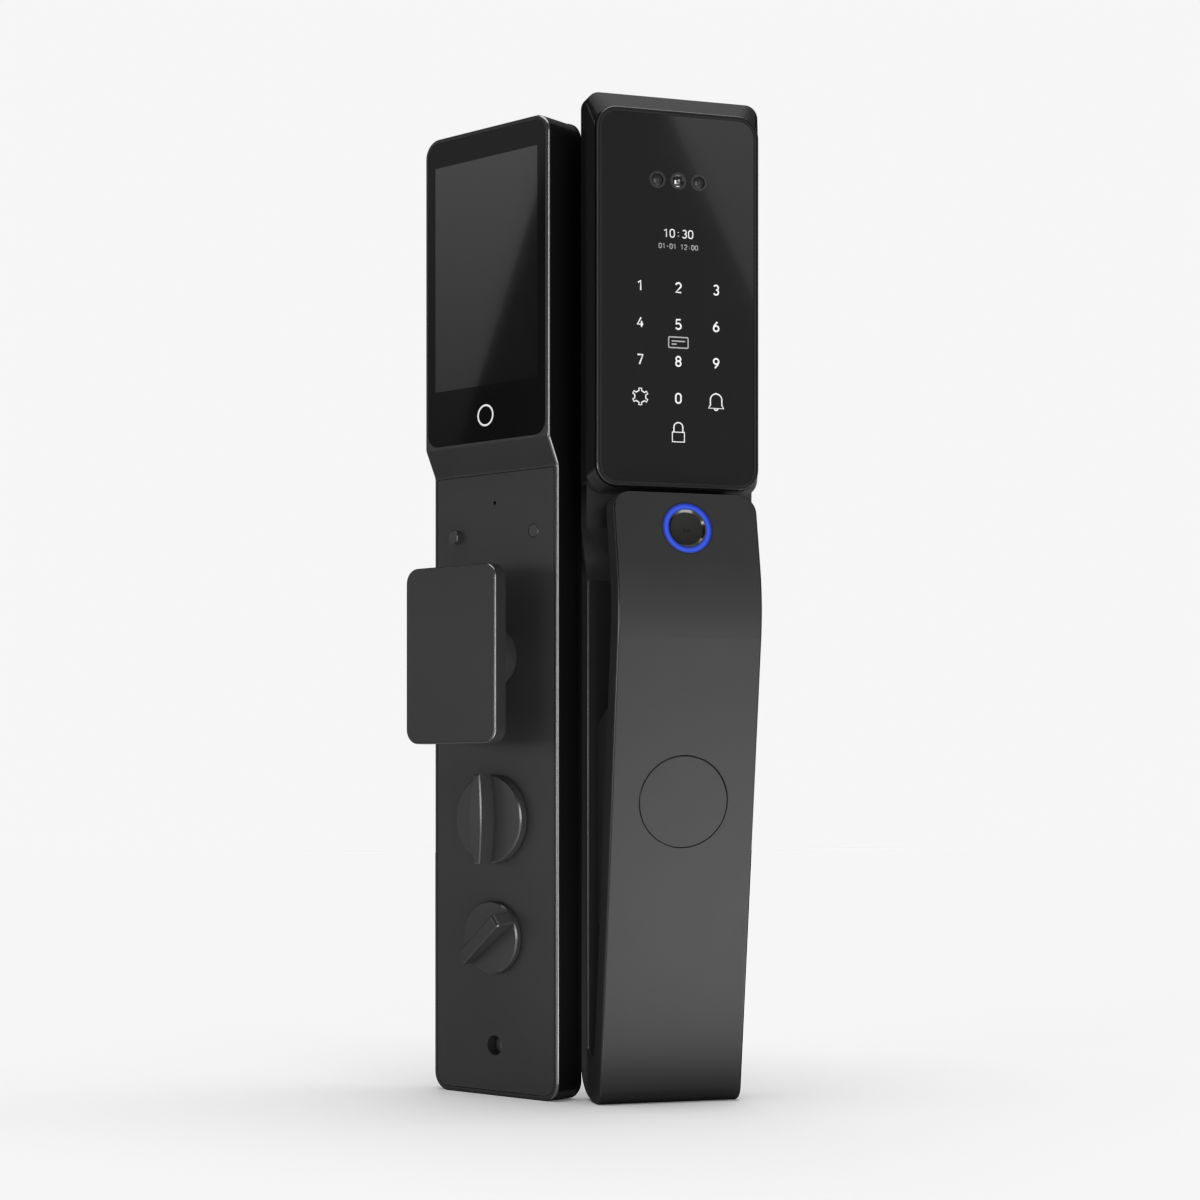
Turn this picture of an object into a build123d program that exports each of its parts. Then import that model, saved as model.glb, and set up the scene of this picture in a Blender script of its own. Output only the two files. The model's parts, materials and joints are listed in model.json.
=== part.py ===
from build123d import *
import os
from math import cos, radians, sin, tan

# Keypad smart lock as two units that stand upright in a V: the outdoor unit with the keypad glass
# and the loop handle, and the indoor unit with the screen, the pull grip and the thumbturns.
# Each unit is modelled from the middle of its back: x to the right as seen from the front,
# depth out of the back along -Y, z up from the floor. Depths below are measured that way.

# The pair: the indoor gasket's back corner stands beside the outdoor unit's flank
PAIR_TURN = 57.2
PAIR_DEPTH = 5.5
PAIR_GAP = 0.3

# A face counts as looking one way within this angle
FACING_CONE = 60.0

# Clearances
CLOSE_GAP = 0.05
RUN_GAP = 0.05
SEAM_GAP = 0.3
CAP_GAP = 0.35

# Outdoor loop: slab, foot and handle are one ribbon wide
HEIGHT = 430.0
LOOP_W = 63.7
SLAB_T = 10.0
EDGE_R = 1.0
TOE_Z = 6.0
TOE_R = 16.0
FOOT_LENGTH = 9.43
FOOT_R = 6.5
GAP_LOW = 19.5
GAP_ROUND = 0.37

# Handle ribbon
HANDLE_T = 10.2
HANDLE_TOP = 259.5
HANDLE_CORNER_R = 8.0
KNEE_DEPTH = 56.7
KNEE_Z = 213.3
KNEE_R = 92.0
LOWER_LEAN = 7.55
UPPER_LEAN = 11.6
BRIDGE_INSET = 8.25
BRIDGE_H = 9.0
BRIDGE_DROP = 1.3

# Post between slab and handle
POST_INSET = 4.85
POST_LOW = 76.0
POST_TOP = 172.0
POST_RISE = 10.0
POST_SAG = 2.5

# Neck and head of the outdoor body
NECK_LOW = 225.0
NECK_KNEE = 246.0
NECK_INSET = 1.25
NECK_T = 27.5
HEAD_LOW = 260.8
HEAD_W = 77.1
HEAD_BACK_LOW = 240.0
HEAD_BACK_DROP = 6.0
BACK_LAND = 2.0
BAND_T = 8.4
CREASE_DEPTH = 31.4
HEAD_TOP_R = 5.7
HEAD_LOW_R = 8.0
SHOULDER_T = 5.8

# Bezel ring and front glass
RIM_SIDE_INSET = 2.35
RIM_TOP_INSET = 7.4
RIM_LOW_INSET = 1.9
RIM_R = 9.0
RIM_PROUD = 1.8
RIM_GAP = 0.4
RING_T = 6.0
RIM_LIP = 2.0
RING_LEDGE = 1.5
RING_EDGE_R = 0.35
GROOVE_IN = 0.7
GROOVE_W = 0.7
GROOVE_DEPTH = 0.5
GLASS_T = 2.0
GLASS_SINK = 0.3
GLASS_GAP = 0.1

# Camera row in the glass
LENS_R = 3.65
LENS_PITCH = 9.3
LENS_DROP = 37.0
LENS_COUNT = 3
LENS_BORE_R = 2.65
LENS_DISH = 0.6

# Boards and inner pieces of the head
CAVITY_FLOOR = 16.0
CAVITY_LEDGE = 2.5
BOARD_T = 1.6
BOARD_GAP = 0.5
DISPLAY_W = 34.0
DISPLAY_H = 17.0
DISPLAY_DROP = 61.5
DISPLAY_T = 2.0
CAMERA_W = 32.0
CAMERA_H = 12.0
CAMERA_T = 10.0
ANTENNA_W = 34.0
ANTENNA_H = 26.0
ANTENNA_TRACK = 3.0
ANTENNA_T = 0.6
ANTENNA_DROP = 105.6
CONTROL_SIDE = 7.8
CONTROL_RISE = 43.3
CONTROL_DROP = 24.6
STANDOFF_H = 3.0
STANDOFF_R = 3.2
STANDOFF_INSET = 5.0
BOARD_SCREW_R = 1.3
BOARD_SCREW_HEAD_R = 2.5
BOARD_SCREW_HEAD_T = 1.8
BELL_R = 11.0
BELL_T = 5.0
BELL_RISE = 17.0

# Back of the outdoor unit
BOLT_SPACING = 300.0
BOLT_LOW = 40.0
POST_OUTER_R = 4.5
POST_LENGTH = 8.5
TAP_R = 2.1
TAP_DEPTH = 7.5
SEAL_INSET = 3.5
SEAL_W = 3.0
SEAL_T = 1.0
SEAL_LOW = 24.0
SEAL_R = 5.0
CABLE_RISE = 40.3
CABLE_R = 7.0
CABLE_BORE_R = 4.0
CABLE_FLANGE_R = 9.0
CABLE_FLANGE_T = 1.4
HANDLE_SCREW_R = 2.5
HANDLE_SCREW_HEAD_R = 4.2
HANDLE_SCREW_HEAD_T = 4.6
HANDLE_SCREW_BITE = 5.0
POST_SCREW_X = 17.0
POST_SCREW_INSET = 17.0
BRIDGE_SCREW_X = 14.0

# Fingerprint sensor in the handle's upper face
SENSOR_Z = 244.4
SENSOR_R = 8.15
LIGHT_RING_R = 10.85
SENSOR_CUP_WALL = 0.5
SENSOR_DEPTH = 7.5
SENSOR_SEAT = 3.0
PAD_R = 7.1
PAD_DISH = 0.25
BEZEL_DROP = 0.9
BEZEL_LIP = 0.1

# Key cylinder behind the round cover
KEY_Z = 129.4
COVER_R = 19.5
COVER_T = 3.0
COVER_EDGE_R = 0.4
CYLINDER_R = 8.5
PLUG_R = 6.0
PLUG_START = 16.0
KEYWAY_W = 2.0
KEYWAY_H = 8.0
KEYWAY_DEPTH = 18.0
TAIL_W = 6.0
TAIL_T = 2.0
TAIL_BITE = 4.0
TAIL_END = 0.6
TAIL_HOLE_R = 5.0

# Indoor housing
IN_HEIGHT = 424.5
IN_W = 74.2
IN_R = 8.0
IN_LOW_T = 15.0
IN_TOP_T = 20.9
STEP_LOW = 274.2
STEP_HIGH = 286.0
STEP_R = 4.0
IN_EDGE_R = 1.4
IN_LIP = 2.0
PANEL_T = 3.0
PANEL_TOP_GAP = 0.6
PANEL_TOP_R = 1.2
FLOOR_T = 2.0
LEDGE_W = 3.0
IN_GLASS_T = 2.0
GLASS_STEP = 1.0
LCD_SIDE = 6.6
LCD_H = 99.7
LCD_DROP = 13.2
LCD_T = 4.0
BATTERY_SIDE = 1.5
BATTERY_H = 96.0
BATTERY_T = 9.0

# Back of the indoor unit
PLATE_T = 2.0
PLATE_GAP = 1.3
PLATE_MARGIN = 8.0
PLATE_R = 4.0
PLATE_HOLE_R = 2.75
IN_SEAL_T = 1.5
IN_SEAL_W = 3.85
IN_SEAL_PROUD = 0.25
SCREW_POCKET_R = 6.5
SCREW_POCKET_T = 2.5

# Pull grip
GRIP_W = 53.5
GRIP_H = 76.5
GRIP_T = 6.5
GRIP_R = 6.5
GRIP_EDGE_R = 1.0
GRIP_Z = 192.6
GRIP_REACH = 28.3
STEM_R = 13.0
SPIGOT_R = 8.0
SPIGOT_T = 2.5
GRIP_SCREW_R = 3.0
GRIP_SCREW_HEAD_R = 5.0
GRIP_SCREW_HEAD_T = 4.0
GRIP_SCREW_BITE = 14.0
BOSS_WALL = 3.0

# Thumbturns
KNOB_GAP = 0.5
KNOB_BEVEL = 0.6
DEADBOLT_Z = 121.7
DEADBOLT_R = 19.5
DEADBOLT_T = 3.9
DEADBOLT_FIN_W = 7.4
DEADBOLT_FIN_END = 3.2
DEADBOLT_FIN_H = 8.4
DEADBOLT_CROWN = 1.2
DEADBOLT_SHAFT_R = 5.0
PRIVACY_Z = 69.7
PRIVACY_R = 16.0
PRIVACY_T = 2.8
PRIVACY_FIN_W = 6.0
PRIVACY_FIN_H = 8.8
PRIVACY_FIN_LOW = 5.2
PRIVACY_FIN_RAMP = 2.4
PRIVACY_FIN_NOSE = 2.0
PRIVACY_FIN_TURN = -53.0
PRIVACY_SHAFT_R = 4.0
FIN_BEVEL = 0.5
SHAFT_BITE = 1.8
SHAFT_HOLE_GAP = 0.6
BUSH_WALL = 3.0
CLIP_T = 0.9
CLIP_GROOVE = 1.0
CLIP_REACH = 1.6
CLIP_GAP = 0.3
CLIP_OPENING = 4.0
DRIVE_SQUARE = 1.3

# Buttons, reset hole and panel screw
BUTTON_X = 22.8
BUTTON_Z = 246.8
BUTTON_R = 3.0
BUTTON_PROUD = 3.0
BUTTON_FLANGE_R = 4.0
BUTTON_FLANGE_T = 1.0
BUTTON_TRAVEL = 0.8
BUTTON_EDGE_R = 0.5
BUTTON_STOP_GAP = 0.1
SWITCH_W = 6.0
SWITCH_PLUNGER_R = 1.6
SWITCH_PLUNGER_T = 0.7
RESET_Z = 260.6
RESET_R = 0.9
PANEL_SCREW_Z = 22.1
PANEL_SCREW_BORE_R = 4.4
PANEL_SCREW_HEAD_R = 4.0
PANEL_SCREW_HEAD_T = 2.6
PANEL_SCREW_SINK = 5.0
PANEL_SCREW_R = 2.3
PANEL_BOSS_R = 7.0
PANEL_SEAT_T = 1.6

# Main board and speaker of the indoor unit
MAIN_LOW = 223.5
MAIN_HIGH = 255.5
MAIN_SIDE = 6.9
MAIN_STANDOFF = 1.6
VOICE_R = 10.0
VOICE_T = 4.0
VOICE_X = -18.0
VOICE_Z = 34.0

# Worked-out widths, depths and heights
POST_W = LOOP_W - 2 * POST_INSET
BRIDGE_W = LOOP_W - 2 * BRIDGE_INSET
NECK_W = HEAD_W - 2 * NECK_INSET
RIM_W = HEAD_W - 2 * RIM_SIDE_INSET
CONTROL_W = RIM_W - 2 * CONTROL_SIDE
LCD_W = IN_W - 2 * LCD_SIDE
BATTERY_W = LCD_W - 2 * BATTERY_SIDE
MAIN_W = IN_W - 2 * MAIN_SIDE
IN_SEAL_REACH = IN_SEAL_W - IN_SEAL_PROUD
PLATE_W = IN_W - 2 * (IN_SEAL_REACH + PLATE_GAP)
BAND_BACK = CREASE_DEPTH - BAND_T
SHOULDER_DEPTH = CREASE_DEPTH + SHOULDER_T
RIM_FRONT = SHOULDER_DEPTH + RIM_PROUD
RING_BACK = RIM_FRONT - RING_T
GLASS_FRONT = RIM_FRONT - GLASS_SINK
GLASS_BACK = GLASS_FRONT - GLASS_T
RIM_TOP = HEIGHT - RIM_TOP_INSET
RIM_LOW = HEAD_LOW + RIM_LOW_INSET
CONTROL_LOW = RIM_LOW + CONTROL_RISE
CONTROL_HIGH = RIM_TOP - CONTROL_DROP
CABLE_Z = RIM_LOW + CABLE_RISE
FOOT_FRONT = KNEE_DEPTH - tan(radians(LOWER_LEAN)) * KNEE_Z
FOOT_BACK = FOOT_FRONT - FOOT_LENGTH
GAP_FRONT = FOOT_FRONT + tan(radians(LOWER_LEAN)) * GAP_LOW - HANDLE_T / cos(radians(LOWER_LEAN))
GAP_R = GAP_ROUND * (GAP_FRONT - SLAB_T)
LOOP_SEAM = (SLAB_T + GAP_FRONT) / 2
LENS_Z = HEIGHT - LENS_DROP
BRIDGE_LOW = HEAD_LOW - BRIDGE_DROP - BRIDGE_H
POST_SCREW_Z = (POST_LOW + POST_SCREW_INSET, POST_TOP - POST_RISE - POST_SCREW_INSET)
BOLT_Z = (BOLT_LOW, BOLT_LOW + BOLT_SPACING)
PANEL_BACK = IN_LOW_T - PANEL_T
IN_FLOOR = PLATE_T + FLOOR_T
IN_GLASS_BACK = IN_TOP_T - IN_GLASS_T
LCD_BACK = IN_GLASS_BACK - LCD_T
LCD_MIDDLE = IN_HEIGHT - LCD_DROP - LCD_H / 2
GRIP_FRONT = IN_LOW_T + GRIP_REACH
GRIP_BACK = GRIP_FRONT - GRIP_T

SIDE = Plane(origin=(0, 0, 0), x_dir=(0, -1, 0), z_dir=(-1, 0, 0))


def front(sketch, near, far):
    """Prism of an x-z outline between two depths."""
    return extrude(Plane.XZ.offset(near) * sketch, amount=far - near)


def side(sketch, width):
    """Prism of a depth-z outline, as wide as given and centred."""
    return extrude(SIDE * sketch, amount=width / 2, both=True)


def facing(x, depth, z, tilt=0.0):
    """Place for a piece drawn on its own +Z, turned to point out of the front."""
    out = (0, -cos(radians(tilt)), sin(radians(tilt)))
    return Plane(origin=(x, -depth, z), x_dir=(1, 0, 0), z_dir=out).location


def rod(radius, low, high):
    return Pos(0, 0, low) * extrude(Circle(radius), amount=high - low)


def tube(outer, inner, low, high):
    return rod(outer, low, high) - rod(inner, low, high)


def drill(radius, x, z, near, far):
    return front(Pos(x, z) * Circle(radius), near, far)


def plate(width, low, high, radius):
    """Rounded outline in x-z from one height to another."""
    return Pos(0, (low + high) / 2) * RectangleRounded(width, high - low, radius)


def two_radius_plate(width, low, high, low_r, high_r):
    """Rounded outline whose lower and upper corners differ."""
    outline = Pos(0, (low + high) / 2) * Rectangle(width, high - low)
    corners = outline.vertices().sort_by(Axis.Y)
    outline = fillet(corners[:2], low_r)
    corners = outline.vertices().sort_by(Axis.Y)
    return fillet(corners[-2:], high_r)


def corner(sketch, x, y):
    """The sketch's vertex nearest to a point."""
    return sketch.vertices().sort_by_distance((x, y, 0))[0]


def faces_along(solid, direction):
    """Faces that look along a direction, within the facing cone."""
    aim = Vector(*direction).normalized()
    return [face for face in solid.faces() if face.normal_at().dot(aim) > cos(radians(FACING_CONE))]


def rim_edges(solid, faces):
    """Edges that only one of the given faces has: the outer boundary of a group of faces."""
    borders = []
    for edge in solid.edges():
        owners = [face for face in faces if any(edge.is_same(e) for e in face.edges())]
        if len(owners) == 1:
            borders.append(edge)
    return borders


# Outdoor unit: shared lines of the loop


def handle_front(z):
    """Depth of the handle's front, without the rounding of its knee."""
    if z < KNEE_Z:
        return KNEE_DEPTH - tan(radians(LOWER_LEAN)) * (KNEE_Z - z)
    return KNEE_DEPTH - tan(radians(UPPER_LEAN)) * (z - KNEE_Z)


def lower_back(z):
    return KNEE_DEPTH - tan(radians(LOWER_LEAN)) * (KNEE_Z - z) - HANDLE_T / cos(radians(LOWER_LEAN))


def upper_back(z):
    return KNEE_DEPTH - tan(radians(UPPER_LEAN)) * (z - KNEE_Z) - HANDLE_T / cos(radians(UPPER_LEAN))


def back_knee():
    """Where the two straight runs of the handle's back meet."""
    rise = tan(radians(LOWER_LEAN)) + tan(radians(UPPER_LEAN))
    z = KNEE_Z + (upper_back(KNEE_Z) - lower_back(KNEE_Z)) / rise
    return (lower_back(z), z)


def toe(depth):
    """Height of the foot's sloping underside."""
    return TOE_Z * (1 - depth / FOOT_BACK)


def rim(inset):
    """Outline of the bezel ring, drawn in by an inset."""
    return plate(RIM_W - 2 * inset, RIM_LOW + inset, RIM_TOP - inset, RIM_R - inset)


# Outdoor unit: body


def slab():
    """Back slab with the rear half of the rounded foot."""
    outline = make_face(Polyline(
        (0, NECK_LOW), (0, TOE_Z), (LOOP_SEAM, toe(LOOP_SEAM)), (LOOP_SEAM, GAP_LOW),
        (SLAB_T, GAP_LOW), (SLAB_T, NECK_LOW), close=True))
    outline = fillet(corner(outline, 0, TOE_Z), TOE_R)
    outline = fillet(corner(outline, SLAB_T, GAP_LOW), GAP_R)
    solid = side(outline, LOOP_W)
    long_edges = [e for e in solid.edges().filter_by(Axis.Z) if abs(e.center().Y + SLAB_T) < CLOSE_GAP]
    return fillet(long_edges, EDGE_R)


def neck_section(half_back, half_front, band_back, thick, z):
    """Eight-sided level section: slab-wide at the back land, flaring to the side band."""
    points = [(-half_back, 0), (-half_back, -BACK_LAND), (-half_front, -band_back), (-half_front, -thick),
              (half_front, -thick), (half_front, -band_back), (half_back, -BACK_LAND), (half_back, 0)]
    return Pos(0, 0, z) * make_face(Polyline(*points, close=True))


def neck():
    """Ramp from the slab out to the head, then a short upright stretch."""
    low = neck_section(LOOP_W / 2, LOOP_W / 2, SLAB_T - BAND_T, SLAB_T, NECK_LOW)
    knee = neck_section(LOOP_W / 2, NECK_W / 2, NECK_T - BAND_T, NECK_T, NECK_KNEE)
    top = neck_section(LOOP_W / 2, NECK_W / 2, NECK_T - BAND_T, NECK_T, HEAD_LOW + HEAD_LOW_R)
    return loft([low, knee], ruled=True) + loft([knee, top], ruled=True)


def head():
    """Flared head: back land, taper, side band, and the shoulder that slopes to the bezel."""
    crease = two_radius_plate(HEAD_W, HEAD_LOW, HEIGHT, HEAD_LOW_R, HEAD_TOP_R)
    back = two_radius_plate(LOOP_W, HEAD_BACK_LOW, HEIGHT - HEAD_BACK_DROP, HEAD_LOW_R, HEAD_TOP_R)
    inner = plate(RIM_W + 2 * RIM_GAP, RIM_LOW - RIM_GAP, RIM_TOP + RIM_GAP, RIM_R + RIM_GAP)
    land = front(back, 0, BACK_LAND)
    taper = loft([Plane.XZ.offset(BACK_LAND) * back, Plane.XZ.offset(BAND_BACK) * crease], ruled=True)
    band = front(crease, BAND_BACK, CREASE_DEPTH)
    ends = [Plane.XZ.offset(CREASE_DEPTH) * crease, Plane.XZ.offset(SHOULDER_DEPTH) * inner]
    return land + taper + band + loft(ends, ruled=True)


def head_hollow():
    """Seat for the bezel ring and the space for the boards behind it."""
    seat = plate(RIM_W + 2 * RIM_GAP, RIM_LOW - RIM_GAP, RIM_TOP + RIM_GAP, RIM_R + RIM_GAP)
    return front(seat, RING_BACK, RIM_FRONT) + front(rim(CAVITY_LEDGE), CAVITY_FLOOR, RING_BACK)


def control_corners():
    """Places of the control board's four standoffs."""
    dx = CONTROL_W / 2 - STANDOFF_INSET
    heights = (CONTROL_LOW + STANDOFF_INSET, CONTROL_HIGH - STANDOFF_INSET)
    return [(sx * dx, z) for sx in (-1, 1) for z in heights]


def handle_screw_places():
    """x, z and tip depth of each screw that ties slab and handle together."""
    places = []
    bridge_z = BRIDGE_LOW + BRIDGE_H / 2
    for sx in (-1, 1):
        places += [(sx * POST_SCREW_X, z, lower_back(z) + HANDLE_SCREW_BITE) for z in POST_SCREW_Z]
        places.append((sx * BRIDGE_SCREW_X, bridge_z, upper_back(bridge_z) + HANDLE_SCREW_BITE))
    return places


def seal_groove():
    top = HEIGHT - HEAD_BACK_DROP - SEAL_INSET
    outer = plate(LOOP_W - 2 * SEAL_INSET, SEAL_LOW, top, SEAL_R)
    inner = plate(LOOP_W - 2 * SEAL_INSET - 2 * SEAL_W, SEAL_LOW + SEAL_W, top - SEAL_W, SEAL_R - SEAL_W)
    return front(outer - inner, 0, SEAL_T)


def outdoor_body():
    solid = slab() + neck() + head() - head_hollow() - seal_groove()
    for x, z in control_corners():
        standoff = tube(STANDOFF_R, BOARD_SCREW_R + CLOSE_GAP, CAVITY_FLOOR, CAVITY_FLOOR + STANDOFF_H)
        solid += facing(x, 0, z) * standoff
    for z in BOLT_Z:
        solid -= drill(POST_OUTER_R, 0, z, 0, POST_LENGTH)
    solid -= drill(CABLE_R, 0, CABLE_Z, 0, CAVITY_FLOOR)
    solid -= drill(TAIL_HOLE_R, 0, KEY_Z, 0, SLAB_T)
    for x, z, tip in handle_screw_places():
        solid -= drill(HANDLE_SCREW_HEAD_R + CLOSE_GAP, x, z, 0, HANDLE_SCREW_HEAD_T)
        solid -= drill(HANDLE_SCREW_R + CLOSE_GAP, x, z, 0, tip)
    return solid


def outdoor_gasket():
    return seal_groove()


def threaded_posts():
    post = rod(POST_OUTER_R, 0, POST_LENGTH) - rod(TAP_R, 0, TAP_DEPTH)
    return Compound([facing(0, 0, z) * post for z in BOLT_Z])


def cable_grommet():
    sleeve = rod(CABLE_R, 0, CAVITY_FLOOR)
    flange = rod(CABLE_FLANGE_R, CAVITY_FLOOR, CAVITY_FLOOR + CABLE_FLANGE_T)
    bore = rod(CABLE_BORE_R, 0, CAVITY_FLOOR + CABLE_FLANGE_T)
    return facing(0, 0, CABLE_Z) * (sleeve + flange - bore)


# Outdoor unit: handle and post


def handle_ribbon():
    """Bent ribbon from the foot to under the head, with its front edges rounded."""
    knee = back_knee()
    outline = make_face(Polyline(
        (LOOP_SEAM, toe(LOOP_SEAM)), (FOOT_BACK, 0), (FOOT_FRONT, 0), (KNEE_DEPTH, KNEE_Z),
        (handle_front(HANDLE_TOP), HANDLE_TOP), (upper_back(HANDLE_TOP), HANDLE_TOP), knee,
        (GAP_FRONT, GAP_LOW), (LOOP_SEAM, GAP_LOW), close=True))
    outline = fillet(corner(outline, FOOT_FRONT, 0), FOOT_R)
    outline = fillet(corner(outline, GAP_FRONT, GAP_LOW), GAP_R)
    outline = fillet(corner(outline, KNEE_DEPTH, KNEE_Z), KNEE_R)
    outline = fillet(corner(outline, *knee), KNEE_R - HANDLE_T)
    mask = Pos(0, HANDLE_TOP / 2) * Rectangle(LOOP_W, HANDLE_TOP)
    mask = fillet(mask.vertices().sort_by(Axis.Y)[-2:], HANDLE_CORNER_R)
    solid = side(outline, LOOP_W) & front(mask, LOOP_SEAM, KNEE_DEPTH)
    borders = rim_edges(solid, faces_along(solid, (0, -1, -1)))
    return fillet([e for e in borders if e.center().Y < -FOOT_BACK - CLOSE_GAP], EDGE_R)


def bridge():
    """Block at the handle's top end that meets the neck."""
    high = BRIDGE_LOW + BRIDGE_H
    outline = make_face(Polyline(
        (NECK_T, BRIDGE_LOW), (upper_back(BRIDGE_LOW), BRIDGE_LOW), (upper_back(high), high),
        (NECK_T, high), close=True))
    return side(outline, BRIDGE_W)


def sensor_place():
    return facing(0, handle_front(SENSOR_Z), SENSOR_Z, UPPER_LEAN)


def cover_place():
    return facing(0, handle_front(KEY_Z), KEY_Z, -LOWER_LEAN)


def cylinder_front():
    """Depth that the key cylinder may reach under the round cover."""
    lean = radians(LOWER_LEAN)
    return handle_front(KEY_Z) - (COVER_T + CAP_GAP) / cos(lean) - CYLINDER_R * tan(lean)


def handle_shell():
    solid = handle_ribbon() + bridge()
    pocket_r = LIGHT_RING_R + SENSOR_CUP_WALL + CLOSE_GAP
    solid -= sensor_place() * rod(pocket_r, -SENSOR_DEPTH, SENSOR_DEPTH)
    solid -= cover_place() * rod(COVER_R + CAP_GAP, -COVER_T - CAP_GAP, COVER_T)
    solid -= drill(CYLINDER_R + CLOSE_GAP, 0, KEY_Z, SLAB_T, KNEE_DEPTH)
    for x, z, tip in handle_screw_places():
        solid -= drill(HANDLE_SCREW_R + CLOSE_GAP, x, z, 0, tip)
    return solid


def handle_post():
    """Block that carries the handle and holds the key cylinder; its top end is hollowed for fingers."""
    low_back = (SLAB_T, POST_LOW)
    low_front = (lower_back(POST_LOW), POST_LOW)
    high_front = (lower_back(POST_TOP), POST_TOP)
    high_back = (SLAB_T, POST_TOP - POST_RISE)
    sides = Polyline(high_back, low_back, low_front, high_front)
    crown = SagittaArc(high_front, high_back, -POST_SAG)
    solid = side(make_face(sides + crown), POST_W)
    solid -= drill(CYLINDER_R + CLOSE_GAP, 0, KEY_Z, SLAB_T, KNEE_DEPTH)
    for x, z, tip in handle_screw_places():
        solid -= drill(HANDLE_SCREW_R + CLOSE_GAP, x, z, 0, tip)
    return solid


def handle_screws():
    screws = []
    for x, z, tip in handle_screw_places():
        head_piece = rod(HANDLE_SCREW_HEAD_R, CLOSE_GAP, HANDLE_SCREW_HEAD_T)
        shank = rod(HANDLE_SCREW_R, HANDLE_SCREW_HEAD_T, tip - CLOSE_GAP)
        screws.append(facing(x, 0, z) * (head_piece + shank))
    return Compound(screws)


# Outdoor unit: glass, lenses and boards


def bezel_ring():
    solid = front(rim(0), RING_BACK, RIM_FRONT)
    top_edges = [e for e in solid.edges() if abs(e.center().Y + RIM_FRONT) < CLOSE_GAP]
    solid = fillet(top_edges, RING_EDGE_R)
    solid -= front(rim(RIM_LIP), GLASS_BACK, RIM_FRONT)
    solid -= front(rim(RIM_LIP + RING_LEDGE), RING_BACK, GLASS_BACK)
    groove = rim(GROOVE_IN) - rim(GROOVE_IN + GROOVE_W)
    return solid - front(groove, RIM_FRONT - GROOVE_DEPTH, RIM_FRONT)


def lens_xs():
    return [(i - (LENS_COUNT - 1) / 2) * LENS_PITCH for i in range(LENS_COUNT)]


def front_glass():
    solid = front(rim(RIM_LIP + GLASS_GAP), GLASS_BACK, GLASS_FRONT)
    for x in lens_xs():
        solid -= drill(LENS_R + CLOSE_GAP, x, LENS_Z, GLASS_BACK, GLASS_FRONT)
    return solid


def camera_lenses():
    """Window of each camera or lamp: a flat collar round a sunken dome."""
    ball_r = (LENS_BORE_R ** 2 + LENS_DISH ** 2) / (2 * LENS_DISH)
    collar = rod(LENS_R, 0, GLASS_T) - rod(LENS_BORE_R, GLASS_T - LENS_DISH, GLASS_T)
    dome = Pos(0, 0, GLASS_T - ball_r) * Sphere(ball_r) & rod(LENS_BORE_R, 0, GLASS_T)
    lens = collar + dome
    return Compound([facing(x, GLASS_BACK, LENS_Z) * lens for x in lens_xs()])


def touch_board():
    solid = front(rim(RIM_LIP + RING_LEDGE + BOARD_GAP), GLASS_BACK - BOARD_T, GLASS_BACK)
    window = Pos(0, HEIGHT - DISPLAY_DROP) * Rectangle(DISPLAY_W + 2 * SEAM_GAP, DISPLAY_H + 2 * SEAM_GAP)
    eye = Pos(0, LENS_Z) * Rectangle(CAMERA_W + 2 * SEAM_GAP, CAMERA_H + 2 * SEAM_GAP)
    return solid - front(window + eye, GLASS_BACK - BOARD_T, GLASS_BACK)


def card_antenna():
    outer = Rectangle(ANTENNA_W, ANTENNA_H)
    inner = Rectangle(ANTENNA_W - 2 * ANTENNA_TRACK, ANTENNA_H - 2 * ANTENNA_TRACK)
    back = GLASS_BACK - BOARD_T
    return front(Pos(0, HEIGHT - ANTENNA_DROP) * (outer - inner), back - ANTENNA_T, back)


def status_display():
    outline = Pos(0, HEIGHT - DISPLAY_DROP) * Rectangle(DISPLAY_W, DISPLAY_H)
    return front(outline, GLASS_BACK - DISPLAY_T, GLASS_BACK)


def camera_module():
    return front(Pos(0, LENS_Z) * Rectangle(CAMERA_W, CAMERA_H), GLASS_BACK - CAMERA_T, GLASS_BACK)


def outdoor_board():
    near = CAVITY_FLOOR + STANDOFF_H
    outline = Pos(0, (CONTROL_LOW + CONTROL_HIGH) / 2) * Rectangle(CONTROL_W, CONTROL_HIGH - CONTROL_LOW)
    solid = front(outline, near, near + BOARD_T)
    for x, z in control_corners():
        solid -= drill(BOARD_SCREW_R + CLOSE_GAP, x, z, near, near + BOARD_T)
    return solid


def board_screws():
    seat = CAVITY_FLOOR + STANDOFF_H + BOARD_T
    screw = rod(BOARD_SCREW_R, CAVITY_FLOOR, seat)
    screw += rod(BOARD_SCREW_HEAD_R, seat, seat + BOARD_SCREW_HEAD_T)
    return Compound([facing(x, 0, z) * screw for x, z in control_corners()])


def doorbell_speaker():
    return facing(0, 0, RIM_LOW + BELL_RISE) * rod(BELL_R, CAVITY_FLOOR, CAVITY_FLOOR + BELL_T)


# Outdoor unit: fingerprint sensor and key cylinder


def sensor_cup():
    cup = rod(LIGHT_RING_R + SENSOR_CUP_WALL, -SENSOR_DEPTH, 0)
    return sensor_place() * (cup - rod(LIGHT_RING_R + CLOSE_GAP, -SENSOR_SEAT, 0))


def light_ring():
    return sensor_place() * tube(LIGHT_RING_R, SENSOR_R + CLOSE_GAP, -SENSOR_SEAT, 0)


def sensor_bezel():
    """Ring inside the light whose inner wall slopes down to the pad."""
    ring = tube(SENSOR_R, PAD_R + CLOSE_GAP, -SENSOR_SEAT, 0)
    slope = Pos(0, 0, -BEZEL_DROP / 2) * Cone(PAD_R, SENSOR_R - BEZEL_LIP, BEZEL_DROP)
    return sensor_place() * (ring - slope)


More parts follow.
